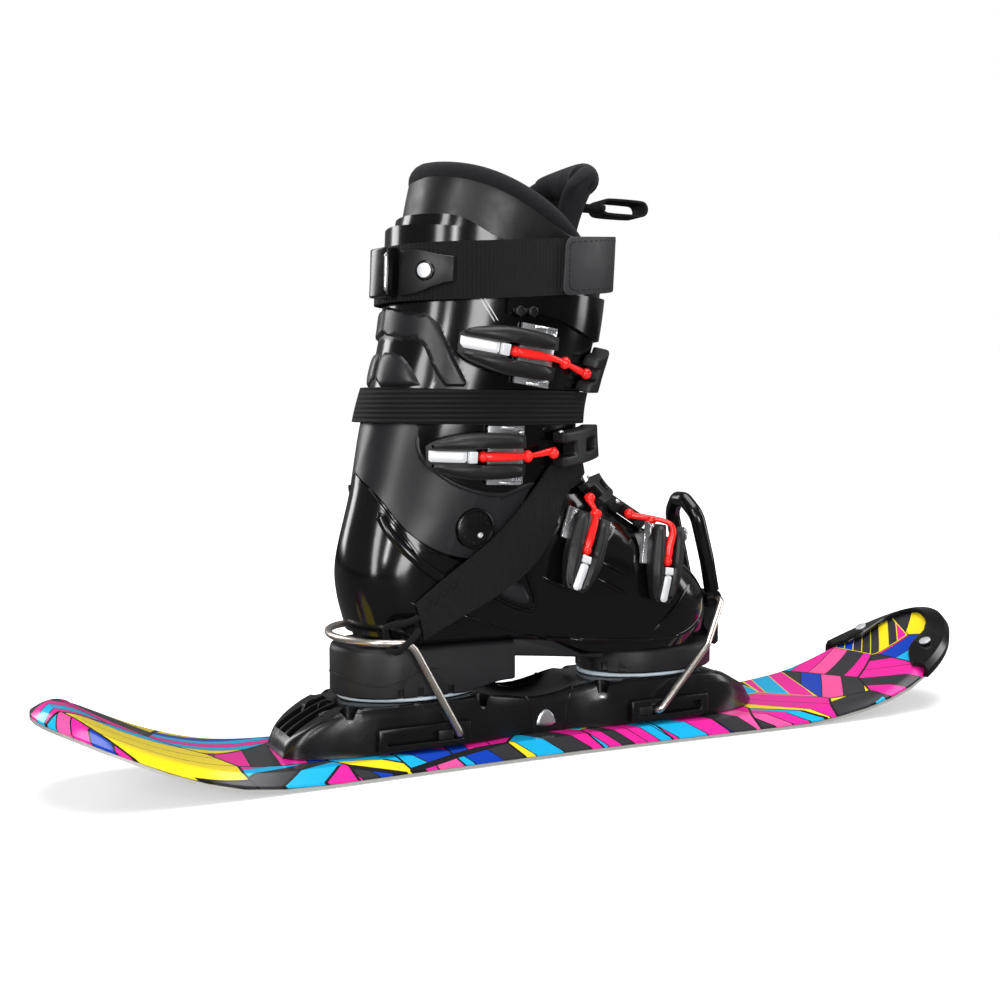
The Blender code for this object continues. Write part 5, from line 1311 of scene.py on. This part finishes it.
# %% Rolls along the collar and the tongue
COLLAR_RADIUS_MM = 8.0
COLLAR_DROP_MM = 5.4
COLLAR_STEPS = 144
SECTOR = 10
tops = {}
for vertex in liner.data.vertices:
    sector = int(math.degrees(math.atan2(vertex.co.y, vertex.co.x - LINER_X * MM)) % 360 // SECTOR)
    if sector not in tops or vertex.co.z > tops[sector].z:
        tops[sector] = vertex.co.copy()
rim = [tops[sector] for sector in sorted(tops)]
for _ in range(3):
    rim = [(rim[i - 1] + rim[i] * 2 + rim[(i + 1) % len(rim)]) / 4 for i in range(len(rim))]
rim = [place - Vector((0, 0, COLLAR_DROP_MM * MM)) for place in rim]
rim = through(rim + rim[:1], COLLAR_STEPS)[:-1]
roll = tube("liner_collar_roll", rim, [COLLAR_RADIUS_MM] * len(rim), collar_plush, True, 20)
tongue_tree = search_tree(tongue)
TONGUE_BEND = ((58, 318), (57, 334), (52, 349), (42, 360), (28, 365.5), (14, 367.5))
TONGUE_TOP = (0, 368)
LOBE_PROUD_MM = 4.0
LOBE_END_MM = 5.5
LOBE_SWELL_MM = 5.5
LOBE_STEPS = 60
near_bend = [(-turn, height) for turn, height in TONGUE_BEND]
lobe = []
for turn, height in (*near_bend, TONGUE_TOP, *reversed(TONGUE_BEND)):
    out = Vector((math.cos(math.radians(turn)), math.sin(math.radians(turn)), 0))
    hit, _, _, _ = tongue_tree.ray_cast(Vector((LINER_X, 0, height)) * MM, out)
    if hit is not None:
        lobe.append(hit + out * LOBE_PROUD_MM * MM)
lobe_radii = [LOBE_END_MM + LOBE_SWELL_MM * math.sin(math.pi * i / LOBE_STEPS) ** 0.3
              for i in range(LOBE_STEPS + 1)]
tongue_roll = tube("tongue_top_roll", through(lobe, LOBE_STEPS), lobe_radii, tongue_plush, sides=20)
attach(tongue_roll, "cuff")
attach(roll, "cuff")
print("rolls finished, rim sectors:", len(tops))

# %% Pull loop, guard screws and padding
strap_uv(dress("pull_loop", strap_webbing, 2))
tab_part = block("loop_tab", 24, 17, 3.4, 0.8)
TAB_AT = Vector((0.048, 0, 0.3505))
tab = spread("pull_loop_tab", tab_part, [(TAB_AT, Vector((0, 0, 1)), Vector((1, 0, 0)))], strap_webbing,
             "cuff")
strap_uv(tab)
for name in ("guard_screw_near", "guard_screw_far"):
    bevelled(name, screw_steel, 0.4)
print("soft pieces finished")

# %% [markdown]
# ## Studio
# A white floor and large soft lamps. Black gloss shows little of its own colour and mostly what it
# reflects, so the lamps' shapes matter more than their power: tall strips give the long highlights
# on the heel and the cuff. The background is white for the camera alone, and the surround that the
# black parts mirror is much darker, so that they stay black.

# %% Floor, world and lamps
FLOOR_REACH = 30.0
FLOOR_DROP = 0.0006
floor_mesh = bpy.data.meshes.new("floor")
FLOOR_CORNERS = ((-1, -1), (1, -1), (1, 1), (-1, 1))
floor_mesh.from_pydata([(x * FLOOR_REACH, y * FLOOR_REACH, 0) for x, y in FLOOR_CORNERS], [],
                       [(0, 1, 2, 3)])
floor = bpy.data.objects.new("floor", floor_mesh)
floor.location.z = -FLOOR_DROP
bpy.context.scene.collection.objects.link(floor)
floor_white, floor_tree, floor_shader = new_material("floor_white", "F4F4F4", 0.8, IOR=1.02)
seen = add(floor_tree, "ShaderNodeLightPath")
spot = add(floor_tree, "ShaderNodeTexCoord").outputs["Object"]
distance = add(floor_tree, "ShaderNodeVectorMath", {0: spot}, operation="LENGTH").outputs["Value"]
glow = add(floor_tree, "ShaderNodeMapRange", {"Value": distance, 1: 0.35, 2: 1.0, 3: 0.45, 4: 1.0})
lift = add(floor_tree, "ShaderNodeMath", {0: seen.outputs["Is Camera Ray"], 1: glow}, operation="MULTIPLY")
tone = add(floor_tree, "ShaderNodeMix", {"Factor": seen.outputs["Is Glossy Ray"], 6: linear("F4F4F4"),
                                         7: linear("5C5C5C")}, data_type="RGBA")
floor_tree.links.new(tone.outputs[2], floor_shader.inputs["Base Color"])
floor_shader.inputs["Emission Color"].default_value = (1, 1, 1, 1)
floor_tree.links.new(lift.outputs[0], floor_shader.inputs["Emission Strength"])
floor.data.materials.append(floor_white)

world = bpy.data.worlds.new("studio")
bpy.context.scene.world = world
world.use_nodes = True
sky = world.node_tree
surround = sky.nodes["Background"]
surround.inputs["Color"].default_value = (1, 1, 1, 1)
rays = add(sky, "ShaderNodeLightPath")
AROUND = 0.16
straight = add(sky, "ShaderNodeMath", {0: rays.outputs["Is Camera Ray"], 1: 1.0 - AROUND, 2: AROUND},
               operation="MULTIPLY_ADD")
sky.links.new(straight.outputs[0], surround.inputs["Strength"])


def softbox(name, place, target, width, height, power):
    """A rectangular lamp that faces a point."""
    lamp = bpy.data.objects.new(name, bpy.data.lights.new(name, "AREA"))
    bpy.context.scene.collection.objects.link(lamp)
    lamp.data.shape = "RECTANGLE"
    lamp.data.size = width
    lamp.data.size_y = height
    lamp.data.energy = power
    lamp.location = place
    lamp.rotation_euler = (Vector(target) - Vector(place)).to_track_quat("-Z", "Y").to_euler()
    return lamp


middle = (0.0, 0.0, 0.18)
softbox("overhead_softbox", (0.1, -0.2, 1.7), middle, 1.5, 1.1, 26)
softbox("left_strip", (-1.5, -0.9, 0.7), middle, 0.30, 1.1, 12)
softbox("front_softbox", (-0.25, -1.8, 0.35), middle, 0.5, 0.6, 11)
softbox("small_softbox", (-1.05, -1.26, 0.55), middle, 0.16, 0.16, 2.0)
softbox("right_strip", (1.6, -0.5, 0.7), middle, 0.35, 1.2, 7)
softbox("rear_strip", (-1.0, 1.5, 0.8), middle, 0.5, 1.2, 12)
